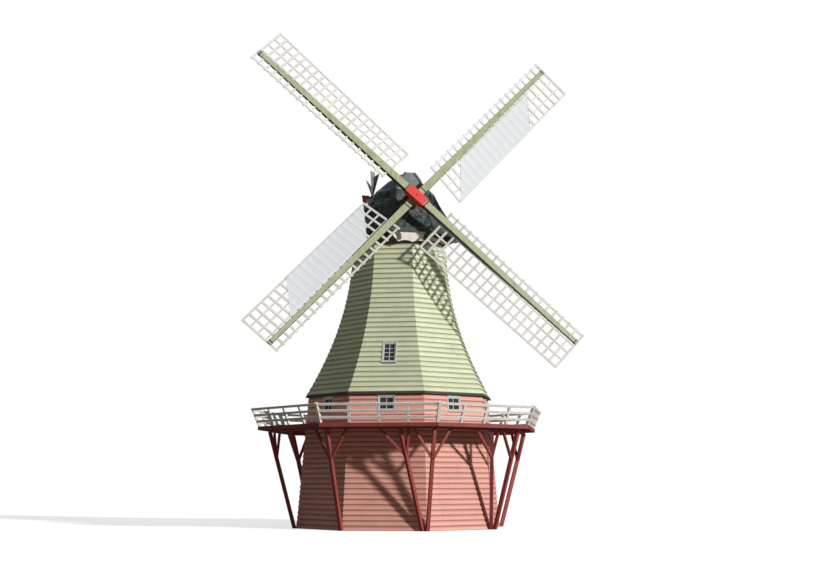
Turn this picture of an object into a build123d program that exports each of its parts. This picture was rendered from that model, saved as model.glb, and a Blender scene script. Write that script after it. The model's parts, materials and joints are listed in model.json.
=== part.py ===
from build123d import *
from math import atan2, cos, radians, sin, sqrt, tan
import os

# A traditional octagonal smock windmill: a battered, boarded base with a gallery around it,
# a flared smock above, a cap that turns on a curb, four common sails and a fantail.
# The origin is on the tower's axis at ground level. +Z is up, the windshaft's nose points to -Y,
# and the octagon has its corners on the X and Y axes. Lengths are millimetres, angles degrees.

# Driving dimensions

sides = 8
seat = 0.3  # gap between two fixed pieces that bear on each other

base_foot_radius = 5630.0  # radii of the tower are those of the octagon's corners
base_top_radius = 5030.0
base_height = 7000.0
base_wall = 220.0

smock_lip_radius = 5220.0
smock_top_radius = 2650.0
smock_height = 8200.0  # from the top of the base
smock_flare = 1.93  # exponent of the flare: 1 is a straight taper
smock_wall = 200.0
smock_courses = 12
lip_drop = 50.0  # how far the skirt laps below the top of the base
lip_gap = 15.0  # from the skirt's inner side to the base wall

base_window_width = 830.0
base_window_height = 720.0
base_window_drop = 530.0  # from the top of the base to the window's middle
smock_window_width = 690.0
smock_window_height = 1110.0
smock_window_rise = 2175.0  # from the top of the base to the window's middle
smock_window_face = 1  # counted from +X; the opposite side has the second window
window_frame_bar = 75.0
window_frame_depth = 150.0
window_frame_proud = 35.0  # how far the frame stands out of the wall
pane_thickness = 12.0

floor_thickness = 100.0

deck_radius = 7800.0
deck_drop = 1620.0  # from the top of the base to the deck
deck_thickness = 50.0
deck_joint = 3.0  # half the gap between two deck bays
fascia_height = 200.0
fascia_thickness = 45.0
mitre_gap = 1.0  # half the gap between two straight bars that meet at a corner
joist_depth = 130.0
joist_width = 110.0
joist_spacing = 1500.0
bearer_radius = 7150.0
bearer_depth = 120.0
bearer_width = 150.0

strut_foot_radius = 5770.0
strut_width = 180.0
strut_depth = 200.0
fork_share = 0.73  # height of the fork, as a share of the strut's height
brace_size = 130.0
brace_spread = 1000.0  # along the bearer, from the strut's head to the brace's head
side_strut_offset = 250.0  # from the corner to the foot of a side strut
side_strut_head = 1000.0  # from the middle of the side to the head of a side strut
side_brace_short = 450.0  # from that head to the brace on the corner's side

rail_height = 960.0
rail_lean = 21.6
rail_bays = 4
rail_post = 150.0
rail_board_height = 125.0
rail_board_thickness = 35.0
rail_rows = 3
rail_inset = 90.0  # from the deck's edge to the middle of a post's foot

curb_radius = 2440.0
curb_width = 260.0
curb_height = 220.0
curb_joint = 2.0
curb_flats = 32  # the curb and its ring are sawn with flats
ring_gap = 0.3  # running gap between the curb and the ring that slides on it
ring_radius = 2560.0
ring_width = 400.0
ring_height = 225.0

cap_wall = 120.0
cap_eave_rise = 750.0  # from the smock's top
cap_height = 3200.0  # from eave to crown
cap_eave_half = 3200.0
cap_front_reach = 2850.0  # from the tower's axis to the front eave
cap_tail_reach = 4300.0  # from the tower's axis to the tail
cap_split_reach = 1950.0  # from the axis to the joint behind the hooded front
# The roof's plans from eave to crown. Each has its height as a share of the cap's, then four corners
# from front to tail: the share of the eave's half width, and the share of the reach to front or tail.
cap_plans = [
    (0.0, [(0.375, -1.0), (1.0, -0.316), (0.9375, 0.465), (0.4375, 1.0)]),
    (0.25, [(0.3125, -0.884), (0.8125, -0.316), (0.719, 0.419), (0.3125, 0.86)]),
    (0.516, [(0.266, -0.825), (0.619, -0.351), (0.484, 0.302), (0.1875, 0.674)]),
    (0.703, [(0.234, -0.807), (0.506, -0.386), (0.328, 0.163), (0.125, 0.442)]),
    (0.875, [(0.172, -0.789), (0.306, -0.439), (0.156, 0.023), (0.081, 0.233)]),
    (1.0, [(0.078, -0.772), (0.094, -0.561), (0.088, -0.316), (0.069, -0.14)]),
]

beam_width = 260.0
sheer_x = 1150.0
sheer_setback = 150.0  # from the front eave back to the sheers' ends
shoulder_beam_y = -850.0
fan_beam_y = 4620.0

skirt_board_height = 710.0
skirt_board_half = 1250.0
skirt_board_thickness = 45.0
skirt_board_taper = 30.0
skirt_board_shoulder = 260.0  # from its top to where it starts to narrow
skirt_foot_share = 0.62
skirt_scallop = 90.0
bracket_thickness = 60.0
bracket_height = 540.0
bracket_reach = 560.0
bracket_inset = 40.0  # from the board's end to the bracket's
bracket_drop = 60.0  # from the eave to the bracket's top

hub_y = -3400.0
hub_rise = 1600.0  # from the eave
shaft_raise = 12.0
shaft_radius = 260.0
shaft_length = 4750.0
bore_gap = 0.3
front_hole_gap = 30.0
neck_station = 1450.0  # along the shaft, from the hub back
tail_station = 4550.0
bearing_length = 300.0
bearing_cover = 90.0
bearing_half_width = 400.0
weather_beam_height = 350.0
weather_beam_half = 900.0

rest_turn = 46.2  # first arm above the horizontal at rest, seen from the front
sail_radius = 11600.0
stock_hub_width = 400.0
stock_tip_width = 250.0
stock_hub_depth = 320.0
stock_tip_depth = 150.0
stock_straight = 700.0  # half the length that keeps the hub's section
stock_offset = 165.0  # each stock's middle from the middle of the canister
canister_length = 1200.0
canister_wall = 60.0
pin_radius = 55.0
pin_height = 50.0

sail_heel = 2030.0
sail_tip_inset = 30.0  # from the stock's tip to the last bar
sail_bays = 20
sail_wide = 1800.0
sail_narrow = 500.0
uplong_near = 235.0
weather_heel = 16.0
weather_tip = 5.0
sailbar_width = 55.0
sailbar_depth = 44.0
uplong_width = 50.0
uplong_depth = 30.0
hemlath_width = 70.0
cloth_thickness = 12.0
cloth_inner_share = 0.32  # of the sail's radius, where the cloth's inner edge meets the stock
cloth_outer_share = 0.84
cloth_hem_share = 0.71
cloth_inset = 20.0

fan_y = 7000.0
fan_rise = 3700.0  # from the eave
fan_radius = 1620.0
fan_blades = 8
fan_hub_radius = 150.0
fan_hub_length = 170.0
fan_blade_root = 110.0
fan_socket_share = 0.6  # where a blade starts inside the hub, as a share of the hub's radius
fan_blade_tip = 560.0
fan_blade_thickness = 25.0
fan_pitch = 42.0
fan_shaft_radius = 45.0
fan_post_x = 550.0
fan_post_size = 170.0
fan_arm_radius = 105.0
fan_arm_reach = 260.0
fan_post_head = 102.0  # from the fan's axis up to the post's top
fan_shaft_end = 20.0  # how far the shaft stands out of a post

# Derived sizes

half_turn = 180.0 / sides  # from a face's middle to its corner
far = 20000.0  # longer than any piece, for cutting tools
smock_top_z = base_height + smock_height
base_window_z = base_height - base_window_drop
smock_window_z = base_height + smock_window_rise
deck_z = base_height - deck_drop
cap_eave_z = smock_top_z + cap_eave_rise
cap_crown_z = cap_eave_z + cap_height
hub_z = cap_eave_z + hub_rise
fan_z = cap_eave_z + fan_rise
sheer_front = sheer_setback - cap_front_reach
sail_tip = sail_radius - sail_tip_inset
deck_under = deck_z - deck_thickness
bearer_top = deck_under - joist_depth
bearer_under = bearer_top - bearer_depth
ring_z = smock_top_z + curb_height + ring_gap
frame_z = ring_z + ring_height
stock_wall_x = uplong_near - cloth_inset
wind_axis = Plane(
    origin=(0, hub_y, hub_z),
    x_dir=(1, 0, 0),
    z_dir=(0, -cos(radians(shaft_raise)), sin(radians(shaft_raise))),
)


def apothem(radius):
    """Distance from the axis to the middle of a face of the octagon."""
    return radius * cos(radians(half_turn))


def base_radius(z):
    """Corner radius of the base at a height."""
    return base_foot_radius - (base_foot_radius - base_top_radius) * z / base_height


def smock_radius(z):
    """Corner radius of the flared smock at a height."""
    lip_z = base_height - lip_drop
    share = (smock_top_z - z) / (smock_top_z - lip_z)
    return smock_top_radius + (smock_lip_radius - smock_top_radius) * share**smock_flare


def solid_between(points, length):
    """A profile of (distance, height) points, extruded both ways along the face."""
    return extrude(Plane.XZ * make_face(Polyline(*points, close=True)), amount=length, both=True)


def face_wedge(gap=0.0):
    """The sector of one face, from corner plane to corner plane, drawn in by a gap."""
    tip = gap / sin(radians(half_turn))
    reach = (far - tip) * tan(radians(half_turn))
    outline = make_face(Polyline((tip, 0), (far, -reach), (far, reach), close=True))
    return extrude(outline, amount=far, both=True)


def panel(points, gap=0.0):
    """One side of the octagon from its profile, mitred at both corners."""
    return solid_between(points, far / 2) & face_wedge(gap)


def at_face(index, shape):
    """Turns a shape made about the +X axis to the middle of a face."""
    return Rot(0, 0, half_turn * (2 * index + 1)) * shape


def at_corner(index, shape):
    """Turns a shape made about the +X axis to a corner."""
    return Rot(0, 0, 2 * half_turn * index) * shape


def above(z):
    """Everything above a height."""
    return Pos(0, 0, z + far / 2) * Box(2 * far, 2 * far, far)


def below(z):
    """Everything below a height."""
    return Pos(0, 0, z - far / 2) * Box(2 * far, 2 * far, far)


def beam(start, end, width, depth, overrun=0.0):
    """A straight timber between two points, with its width held level."""
    start, end = Vector(*start), Vector(*end)
    along = (end - start).normalized()
    level = Vector(0, 0, 1).cross(along)
    middle = Plane(origin=(start + end) / 2, x_dir=level, z_dir=along)
    return middle * Box(width, depth, (end - start).length + 2 * overrun)


def gathered(shapes):
    """Separate solids that share one node."""
    solids = [solid for shape in shapes for solid in shape.solids()]
    return Compound(children=solids)


# The tower


def wall_plane(radius_at, z, height):
    """The plane of a wall where a window sits: X along the wall, Z outwards."""
    low, high = z - height / 2, z + height / 2
    out_low, out_high = apothem(radius_at(low)), apothem(radius_at(high))
    tilt = atan2(out_low - out_high, height)
    origin = ((out_low + out_high) / 2, 0, z)
    return Plane(origin=origin, x_dir=(0, 1, 0), z_dir=(cos(tilt), 0, sin(tilt)))


base_window_plane = wall_plane(base_radius, base_window_z, base_window_height)
smock_window_plane = wall_plane(smock_radius, smock_window_z, smock_window_height)


def window_hole(plane, width, height):
    """The opening cut through a wall."""
    return plane * Box(width, height, 4 * base_wall)


def window_frame(plane, width, height):
    """The frame that lines an opening and stands a little proud of the wall."""
    outer = Box(width - 2 * seat, height - 2 * seat, window_frame_depth)
    inner = Box(width - 2 * window_frame_bar, height - 2 * window_frame_bar, 2 * window_frame_depth)
    return plane.offset(window_frame_proud - window_frame_depth / 2) * (outer - inner)


def window_pane(plane, width, height):
    """The glass inside a frame."""
    opening = 2 * (window_frame_bar + seat)
    glass = Box(width - opening, height - opening, pane_thickness)
    return plane.offset(window_frame_proud - window_frame_depth / 2) * glass


def base_wall_panel():
    """One battered side of the base, with its window opening."""
    foot, top = apothem(base_foot_radius), apothem(base_top_radius)
    profile = [(foot, 0), (top, base_height), (top - base_wall, base_height), (foot - base_wall, 0)]
    return panel(profile) - window_hole(base_window_plane, base_window_width, base_window_height)


def smock_profile():
    """Profile of a smock side: the flare outside, the skirt's lip below, a parallel inner face."""
    lip_z = base_height - lip_drop
    heights = [lip_z + (smock_top_z - lip_z) * i / smock_courses for i in range(smock_courses + 1)]
    outer = [(apothem(smock_radius(z)), z) for z in heights]
    inner = [(d - smock_wall, z) for d, z in reversed(outer[1:])]
    lip_inside = apothem(base_radius(lip_z)) + lip_gap
    sill = apothem(base_top_radius) - base_wall
    return outer + inner + [(sill, base_height), (lip_inside, base_height), (lip_inside, lip_z)]


def smock_panel(has_window):
    """One curved side of the smock."""
    side = panel(smock_profile())
    if has_window:
        side -= window_hole(smock_window_plane, smock_window_width, smock_window_height)
    return side


def octagon(radius, z):
    """A horizontal octagon with corners on the X and Y axes."""
    turns = [2 * radians(half_turn) * i for i in range(sides)]
    corners = [(radius * cos(turn), radius * sin(turn), z) for turn in turns]
    return make_face(Polyline(*corners, close=True))


def base_floor(top_z):
    """A floor that fills the base from wall to wall."""
    clear = (base_wall + seat) / cos(radians(half_turn))
    levels = (top_z - floor_thickness, top_z)
    return loft([octagon(base_radius(z) - clear, z) for z in levels], ruled=True)


def build_tower():
    """Walls, windows and floors. Opposite sides share a node."""
    for i in range(sides // 2):
        pair = (i, i + sides // 2)
        has_window = i == smock_window_face
        nodes[f"base_walls_{i + 1}"] = gathered(at_face(k, base_wall_panel()) for k in pair)
        nodes[f"smock_sides_{i + 1}"] = gathered(at_face(k, smock_panel(has_window)) for k in pair)
    base_size = (base_window_plane, base_window_width, base_window_height)
    smock_size = (smock_window_plane, smock_window_width, smock_window_height)
    places = [(i, base_size) for i in range(sides)]
    places += [(smock_window_face + step, smock_size) for step in (0, sides // 2)]
    nodes["window_frames"] = gathered(at_face(i, window_frame(*size)) for i, size in places)
    nodes["window_panes"] = gathered(at_face(i, window_pane(*size)) for i, size in places)
    nodes["gallery_floor"] = base_floor(deck_z)
    nodes["smock_floor"] = base_floor(base_height)


# The gallery


def deck_bay():
    """The boarding of one side of the gallery, against the wall."""
    edge = apothem(deck_radius) - fascia_thickness - seat
    wall_low, wall_high = (apothem(base_radius(z)) + seat for z in (deck_under, deck_z))
    profile = [(wall_low, deck_under), (edge, deck_under), (edge, deck_z), (wall_high, deck_z)]
    return panel(profile, deck_joint)


def flat_bar(inner, outer, low, high, gap):
    """A straight bar along one side of the gallery."""
    return panel([(inner, low), (outer, low), (outer, high), (inner, high)], gap)


def joists_of_face():
    """The joists square to one side."""
    start = apothem(base_radius(bearer_top)) + seat
    end = apothem(deck_radius) - fascia_thickness - seat
    middle = ((start + end) / 2, 0, deck_under - joist_depth / 2)
    joist = Pos(*middle) * Box(end - start, joist_width, joist_depth)
    return [Pos(0, joist_spacing * step, 0) * joist for step in (-1, 0, 1)]


def corner_joist():
    """The joist that runs out along a corner."""
    start = base_radius(bearer_top) + seat
    edge = apothem(deck_radius) - fascia_thickness - seat
    end = edge / cos(radians(half_turn)) - joist_width / 2 * tan(radians(half_turn))
    middle = ((start + end) / 2, 0, deck_under - joist_depth / 2)
    return Pos(*middle) * Box(end - start, joist_width, joist_depth)


def strut_radius(z):
    """Distance of a corner strut's middle from the tower's axis at a height."""
    return strut_foot_radius + (bearer_radius - strut_foot_radius) * z / bearer_under


def corner_strut():
    """The raking strut from the ground up to the bearers at a corner."""
    top = bearer_under - seat
    half = strut_depth / 2
    rake = [(0, -half), (0, half), (top, half), (top, -half)]
    return solid_between([(strut_radius(z) + step, z) for z, step in rake], strut_width / 2)


def corner_brace(hand):
    """A brace that forks from a corner strut to the bearer on one hand."""
    fork_z = fork_share * bearer_under
    start = (strut_radius(fork_z), hand * strut_width / 2, fork_z)
    turn = radians(half_turn)
    head = (bearer_radius - brace_spread * sin(turn), hand * brace_spread * cos(turn), bearer_under)
    timber = beam(start, head, brace_size, brace_size, brace_size) & below(bearer_under - seat)
    clear = strut_width / 2 + seat
    keep = Pos(0, hand * (clear + far / 2), 0) * Box(2 * far, far, 2 * far)
    return timber & keep


def side_strut():
    """A strut with two braces that leans from beside a corner's foot towards the middle of a side."""
    foot_y = apothem(strut_foot_radius) * tan(radians(half_turn)) - side_strut_offset
    foot = Vector(apothem(strut_foot_radius), foot_y, 0)
    head = Vector(apothem(bearer_radius), side_strut_head, bearer_under)
    strut = beam(foot, head, strut_width, strut_width, strut_depth) & below(bearer_under - seat) & above(0)
    cut = beam(foot, head, strut_width + 2 * seat, strut_width + 2 * seat, far)
    fork = foot + (head - foot) * fork_share
    pieces = [strut]
    for step in (-brace_spread, side_brace_short):
        reach = Vector(head.X, head.Y + step, bearer_under)
        brace = beam(fork, reach, brace_size, brace_size, brace_size) & below(bearer_under - seat)
        pieces.append((brace - cut).solids().sort_by(Axis.Z)[-1])
    return pieces


def build_gallery():
    """Deck, its timbers and its struts."""
    edge = apothem(deck_radius)
    bearer = apothem(bearer_radius)
    faces = range(sides)
    fascia = (edge - fascia_thickness, edge, deck_z - fascia_height, deck_z, mitre_gap)
    bearer_box = (bearer - bearer_width / 2, bearer + bearer_width / 2, bearer_under, bearer_top, mitre_gap)
    nodes["gallery_deck"] = gathered(at_face(i, deck_bay()) for i in faces)
    nodes["gallery_fascia"] = gathered(at_face(i, flat_bar(*fascia)) for i in faces)
    nodes["gallery_bearers"] = gathered(at_face(i, flat_bar(*bearer_box)) for i in faces)
    joists = [at_face(i, joist) for i in faces for joist in joists_of_face()]
    joists += [at_corner(i, corner_joist()) for i in faces]
    nodes["gallery_joists"] = gathered(joists)
    struts = [at_corner(i, corner_strut()) for i in faces]
    struts += [at_corner(i, corner_brace(hand)) for i in faces for hand in (-1, 1)]
    nodes["gallery_struts"] = gathered(struts)
    leaning_faces = (5, 6, 1, 2)
    leaning = [at_face(i, piece) for i in leaning_faces for piece in side_strut()]
    nodes["gallery_side_struts"] = gathered(leaning)


def rail_plane():
    """The leaning plane of one side of the railing: X along the side, Y up the posts."""
    lean = radians(rail_lean)
    foot = apothem(deck_radius) - rail_inset
    return Plane(origin=(foot, 0, deck_z), x_dir=(0, 1, 0), z_dir=(cos(lean), 0, -sin(lean)))


def railing_side():
    """Three boards on the posts between two corners."""
    slope_height = rail_height / cos(radians(rail_lean))
    bay = 2 * (apothem(deck_radius) - rail_inset) * tan(radians(half_turn)) / rail_bays
    pieces = []
    for i in range(1, rail_bays):
        across = bay * (i - rail_bays / 2)
        post = Box(rail_post, slope_height + 2 * rail_post, rail_post)
        pieces.append(Pos(across, slope_height / 2 - rail_post, 0) * post)
    for row in range(1, rail_rows + 1):
        up = slope_height * row / rail_rows - rail_board_height / 2
        pieces.append(Pos(0, up, 0) * Box(far / 2, rail_board_height, rail_board_thickness))
    side = pieces[0].fuse(*pieces[1:])
    side = rail_plane() * side
    return side & face_wedge(rail_post / 2 + seat) & above(deck_z + seat)


def corner_post():
    """A railing post at a corner, leaning along the corner."""
    radius = (apothem(deck_radius) - rail_inset) / cos(radians(half_turn))
    lean = rail_height * tan(radians(rail_lean)) / cos(radians(half_turn))
    foot, head = (radius, 0, deck_z), (radius + lean, 0, deck_z + rail_height)
    timber = beam(foot, head, rail_post, rail_post, rail_post)
    return timber & above(deck_z + seat) & below(deck_z + rail_height)


def build_railing():
    """The fence round the gallery. Opposite sides share a node."""
    for i in range(sides // 2):
        pair = (i, i + sides // 2)
        nodes[f"railings_{i + 1}"] = gathered(at_face(k, railing_side()) for k in pair)
    nodes["railing_corner_posts"] = gathered(at_corner(i, corner_post()) for i in range(sides))


# The cap


def ring(outer, width, low, height):
    """A ring of eight segments that don't touch, sawn with flats."""
    plan = RegularPolygon(outer, curb_flats) - RegularPolygon(outer - width, curb_flats)
    tube = Pos(0, 0, low) * extrude(plan, amount=height)
    return gathered(at_face(i, tube & face_wedge(curb_joint)) for i in range(sides))


def cap_outline(plan, z, inset):
    """The corners of one plan of the roof, drawn in by the wall on the inside."""
    half = []
    for share, reach in plan:
        y = reach * (cap_front_reach if reach < 0 else cap_tail_reach)
        half.append([share * cap_eave_half - inset, y, z])
    half[0][1] += inset
    half[-1][1] -= inset
    return half + [[-x, y, z] for x, y, z in reversed(half)]


def flat(points):
    """A flat face through its corners."""
    return Face(Wire.make_polygon([Vector(*point) for point in points]))


def faceted(outlines):
    """A closed solid with flat facets between outlines of eight corners, alike on both hands."""
    faces = [flat(outlines[end]) for end in (0, -1)]
    for low, high in zip(outlines, outlines[1:]):
        for i in range(len(low)):
            j = (i + 1) % len(low)
            if low[i][1] == low[j][1]:
                loops = [(low[i], low[j], high[j], high[i])]
            elif low[i][0] > 0:
                loops = [(low[i], low[j], high[j]), (low[i], high[j], high[i])]
            else:
                loops = [(low[i], low[j], high[i]), (low[j], high[j], high[i])]
            faces += [flat(loop) for loop in loops]
    return Solid(Shell(faces))


def cap_shell():
    """The roof: an upturned boat with a hipped front, hollow and open below."""
    stations = [(cap_eave_z + share * cap_height, plan) for share, plan in cap_plans]
    outer = faceted([cap_outline(plan, z, 0) for z, plan in stations])
    inside = [cap_outline(cap_plans[0][1], cap_eave_z - cap_wall, cap_wall)]
    inside += [cap_outline(plan, z, cap_wall) for z, plan in stations[:-1]]
    inside.append(cap_outline(cap_plans[-1][1], cap_crown_z - cap_wall, cap_wall))
    return outer - faceted(inside)


def shaft_solid(radius, start, length):
    """A round bar on the windshaft's axis, from a station behind the hub backwards."""
    bar = Cylinder(radius, length, align=(Align.CENTER, Align.CENTER, Align.MAX))
    return wind_axis.offset(-start) * bar


def shaft_point(station):
    """A point on the windshaft's axis."""
    return wind_axis.offset(-station).origin


def half_space(axis, sign, place):
    """A large box on one side of a plane square to an axis."""
    middle = [0, 0, 0]
    middle[axis] = place + sign * far / 2
    size = [2 * far, 2 * far, 2 * far]
    size[axis] = far
    return Pos(*middle) * Box(*size)


def build_cap_roof():
    """The roof in three pieces: the hooded front and the two sides."""
    shell = cap_shell() - shaft_solid(shaft_radius + front_hole_gap, 0, neck_station)
    nodes["cap_front"] = shell & half_space(1, -1, -cap_split_reach)
    rear = shell & half_space(1, 1, -cap_split_reach)
    nodes["cap_side_left"] = rear & half_space(0, -1, 0)
    nodes["cap_side_right"] = rear & half_space(0, 1, 0)


def cap_frame():
    """Two sheers and the beams across them."""
    height = cap_eave_z - frame_z
    sheer_back = fan_beam_y + beam_width / 2
    middle_z = frame_z + height / 2
    pieces = []
    for hand in (-1, 1):
        place = Pos(hand * sheer_x, (sheer_front + sheer_back) / 2, middle_z)
        pieces.append(place * Box(beam_width, sheer_back - sheer_front, height))
    inside = sheer_x + beam_width / 2
    neck_y, tail_y = shaft_point(neck_station).Y, shaft_point(tail_station).Y
    shoulder = cap_eave_half - cap_wall
    cross = [(neck_y, inside), (fan_beam_y, inside)]
    cross += [(shoulder_beam_y, shoulder), (tail_y, shoulder - cap_wall)]
    for y, half in cross:
        pieces.append(Pos(0, y, middle_z) * Box(2 * half, beam_width, height))
    return pieces[0].fuse(*pieces[1:])


def bearing_block(station, low):
    """A bearing block around the windshaft, down to what carries it."""
    centre = shaft_point(station)
    top = centre.Z + shaft_radius + bearing_cover
    block = Pos(0, centre.Y, (low + top) / 2) * Box(2 * bearing_half_width, bearing_length, top - low)
    return block - shaft_solid(shaft_radius + bore_gap, 0, 2 * shaft_length)


def weather_beam():
    """The beam under the neck bearing, on two posts."""
    centre = shaft_point(neck_station)
    top = centre.Z - shaft_radius - bearing_cover - bearing_length / 2
    beam_middle = Pos(0, centre.Y, top - weather_beam_height / 2)
    across = beam_middle * Box(2 * weather_beam_half, beam_width, weather_beam_height)
    post_height = top - cap_eave_z
    for hand in (-1, 1):
        place = Pos(hand * (weather_beam_half - beam_width / 2), centre.Y, cap_eave_z + post_height / 2)
        across += place * Box(beam_width, beam_width, post_height)
    return across, top


def bracket(hand):
    """A curved bracket under the front eave: an arm that sweeps down and in to a foot."""
    inner = skirt_board_half - bracket_inset - bracket_reach
    low = cap_eave_z - bracket_drop - bracket_height

    def place(across, up):
        return inner + bracket_reach * across, low + bracket_height * up

    back = [place(1, 1), place(0.286, 0.926), place(0, 0)]
    front = [place(0.34, 0), place(0.464, 0.574), place(1, 0.76)]
    closing = [Line(back[2], front[0]), Line(front[2], back[0])]
    outline = make_face([ThreePointArc(*back), closing[0], ThreePointArc(*front), closing[1]])
    board_front = sheer_front - seat - skirt_board_thickness
    shape = extrude(Plane.XZ * outline, amount=bracket_thickness)
    shape = Pos(0, board_front - seat, 0) * shape
    return shape if hand > 0 else mirror(shape, Plane.YZ)


def front_board():
    """The pale board under the front eave, scalloped along its foot."""
    top = cap_eave_z - seat
    low = top - skirt_board_height
    half = skirt_board_half
    foot = half * skirt_foot_share
    right = [(half, top), (half - skirt_board_taper, top - skirt_board_shoulder), (foot, low)]
    left = [(-x, z) for x, z in reversed(right)]
    edge = [
        Line(left[-1], right[0]),
        Line(right[0], right[1]),
        Line(right[1], right[2]),
        ThreePointArc((foot, low), (foot / 2, low + skirt_scallop), (0, low)),
        ThreePointArc((0, low), (-foot / 2, low + skirt_scallop), (-foot, low)),
        Line(left[0], left[1]),
        Line(left[1], left[2]),
    ]
    back = sheer_front - seat
    return Pos(0, back, 0) * extrude(Plane.XZ * make_face(edge), amount=skirt_board_thickness)


def build_cap():
    """Everything on the cap that doesn't turn with the sails or the fan."""
    nodes["cap_ring"] = ring(ring_radius, ring_width, ring_z, ring_height)
    nodes["cap_frame"] = cap_frame()
    beam_node, beam_top = weather_beam()
    nodes["weather_beam"] = beam_node
    nodes["neck_bearing"] = bearing_block(neck_station, beam_top)
    nodes["tail_bearing"] = bearing_block(tail_station, cap_eave_z)
    nodes["cap_front_board"] = front_board()
    nodes["cap_brackets"] = gathered(bracket(hand) for hand in (-1, 1))
    build_cap_roof()


# The sails


def tapered(hub, tip):
    """Outline of one side of a stock: straight near the hub, then narrower to both tips."""
    half = [(stock_straight, hub / 2), (sail_radius, tip / 2)]
    upper = [(-x, y) for x, y in reversed(half)] + half
    return Polyline(*upper, *[(x, -y) for x, y in reversed(upper)], close=True)


def stock(extra=0.0):
    """A tapered stock along X, from tip to tip."""
    grown = 2 * extra
    front = make_face(tapered(stock_hub_width + grown, stock_tip_width + grown))
    side = Rot(90, 0, 0) * make_face(tapered(stock_hub_depth + grown, stock_tip_depth + grown))
    return extrude(front, amount=far, both=True) & extrude(side, amount=far, both=True)


def weather(x):
    """Tangent of the sail's angle at a distance from the hub: less and less towards the tip."""
    heel, tip = tan(radians(weather_heel)), tan(radians(weather_tip))
    return heel + (tip - heel) * (x - sail_heel) / (sail_tip - sail_heel)


def sail_point(x, y):
    """A point of the twisted sail surface: X out along the arm, Y towards the leading edge."""
    return Vector(x, y, y * weather(x))


def sailbar(x):
    """A bar across the stock, at the sail's angle there."""
    slope = weather(x)
    reach = (sail_wide + sail_narrow + hemlath_width) * sqrt(1 + slope**2)
    middle = sail_point(x, (sail_narrow - sail_wide) / 2)
    plane = Plane(origin=middle, x_dir=(0, 1, slope), z_dir=(0, -slope, 1))
    return plane * Box(reach, sailbar_width, sailbar_depth)


def lath(y, width):
    """A lath along the sail, straight although the sail twists."""
    start, end = sail_point(sail_heel, y), sail_point(sail_tip, y)
    along = end - start
    length = along.length + sailbar_width
    across = Vector(0, 1, weather((sail_heel + sail_tip) / 2))
    plane = Plane(origin=(start + end) / 2, x_dir=along, z_dir=along.cross(across))
    return plane * Box(length, width, uplong_depth)


def sail_lattice():
    """The bars, the uplongs and the hemlaths of one sail, fused where they cross."""
    bay = (sail_tip - sail_heel) / sail_bays
    bars = [sailbar(sail_heel + bay * i) for i in range(sail_bays + 1)]
    cell = (sail_wide - uplong_near) / 3
    laths = [lath(-uplong_near - cell * i, uplong_width) for i in range(3)]
    laths += [lath(-sail_wide, hemlath_width), lath(sail_narrow, hemlath_width)]
    return bars[0].fuse(*bars[1:], *laths) - stock(seat)


def twisted(rows):
    """A closed solid with flat facets through rows of four corners."""
    faces = [flat(rows[end]) for end in (0, -1)]
    for low, high in zip(rows, rows[1:]):
        for i, j in ((0, 1), (1, 2), (2, 3), (3, 0)):
            folds = ((low[i], low[j], high[j]), (low[i], high[j], high[i]))
            if i == 2:
                folds = ((low[i], low[j], high[i]), (low[j], high[j], high[i]))
            faces += [flat(loop) for loop in folds]
    return Solid(Shell(faces))


def sail_cloth():
    """A cloth spread over the wide side of a sail, cut to its two slanting edges."""
    twist = (weather(sail_heel) - weather(sail_tip)) / (sail_tip - sail_heel)
    lift = sailbar_depth / 2 * sqrt(1 + weather(sail_heel) ** 2) + seat
    lift += twist * (sail_wide + hemlath_width / 2) * sailbar_width / 2

    near, hem = -stock_wall_x, -sail_wide - hemlath_width / 2
    bay = (sail_tip - sail_heel) / sail_bays
    rows = []
    for i in range(sail_bays + 1):
        low = [sail_point(sail_heel + bay * i, y) + Vector(0, 0, lift) for y in (near, hem)]
        high = [point + Vector(0, 0, cloth_thickness) for point in reversed(low)]
        rows.append(low + high)
    outline = [
        (cloth_inner_share * sail_radius, near),
        (sail_heel, hem),
        (cloth_hem_share * sail_radius, hem),
        (cloth_outer_share * sail_radius, near),
    ]
    return twisted(rows) & extrude(make_face(Polyline(*outline, close=True)), amount=far / 4, both=True)


def canister():
    """The iron block at the windshaft's nose, with a socket for each stock."""
    wide = stock_hub_width + 2 * canister_wall
    deep = stock_hub_depth + 2 * canister_wall
    front = Pos(0, 0, stock_offset) * Box(canister_length, wide, deep)
    back = Pos(0, 0, -stock_offset) * Box(wide, wide, deep)
    nose = stock_offset + deep / 2
    pin = Pos(0, 0, nose) * Cylinder(pin_radius, pin_height, align=(Align.CENTER, Align.CENTER, Align.MIN))
    block = front + back + pin
    fit = 2 * seat
    for turn, place in ((0, stock_offset), (90, -stock_offset)):
        socket = Box(2 * canister_length, stock_hub_width + fit, stock_hub_depth + fit)
        block -= Pos(0, 0, place) * Rot(0, 0, turn) * socket
    return block


def on_arm(quarter, offset, shape):
    """Puts a shape made along X on the arm that a number of quarter turns gives."""
    return wind_axis * Pos(0, 0, offset) * Rot(0, 0, rest_turn + 90 * quarter) * shape


def build_sails():
    """Windshaft, stocks, lattices and cloths."""
    canister_back = stock_offset + stock_hub_depth / 2 + canister_wall
    nodes["windshaft"] = shaft_solid(shaft_radius, canister_back, shaft_length)
    nodes["canister"] = on_arm(1, 0, canister())
    nodes["outer_stock"] = on_arm(1, stock_offset, stock())
    nodes["inner_stock"] = on_arm(0, -stock_offset, stock())
    lattice = sail_lattice()
    cloth = sail_cloth()
    for quarter in range(4):
        offset = stock_offset if quarter % 2 else -stock_offset
        nodes[f"sail_{quarter + 1}"] = on_arm(quarter, offset, lattice)
        if quarter % 2 == 0:
            nodes[f"sail_cloth_{quarter + 1}"] = on_arm(quarter, offset, cloth)


# The fantail


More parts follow.
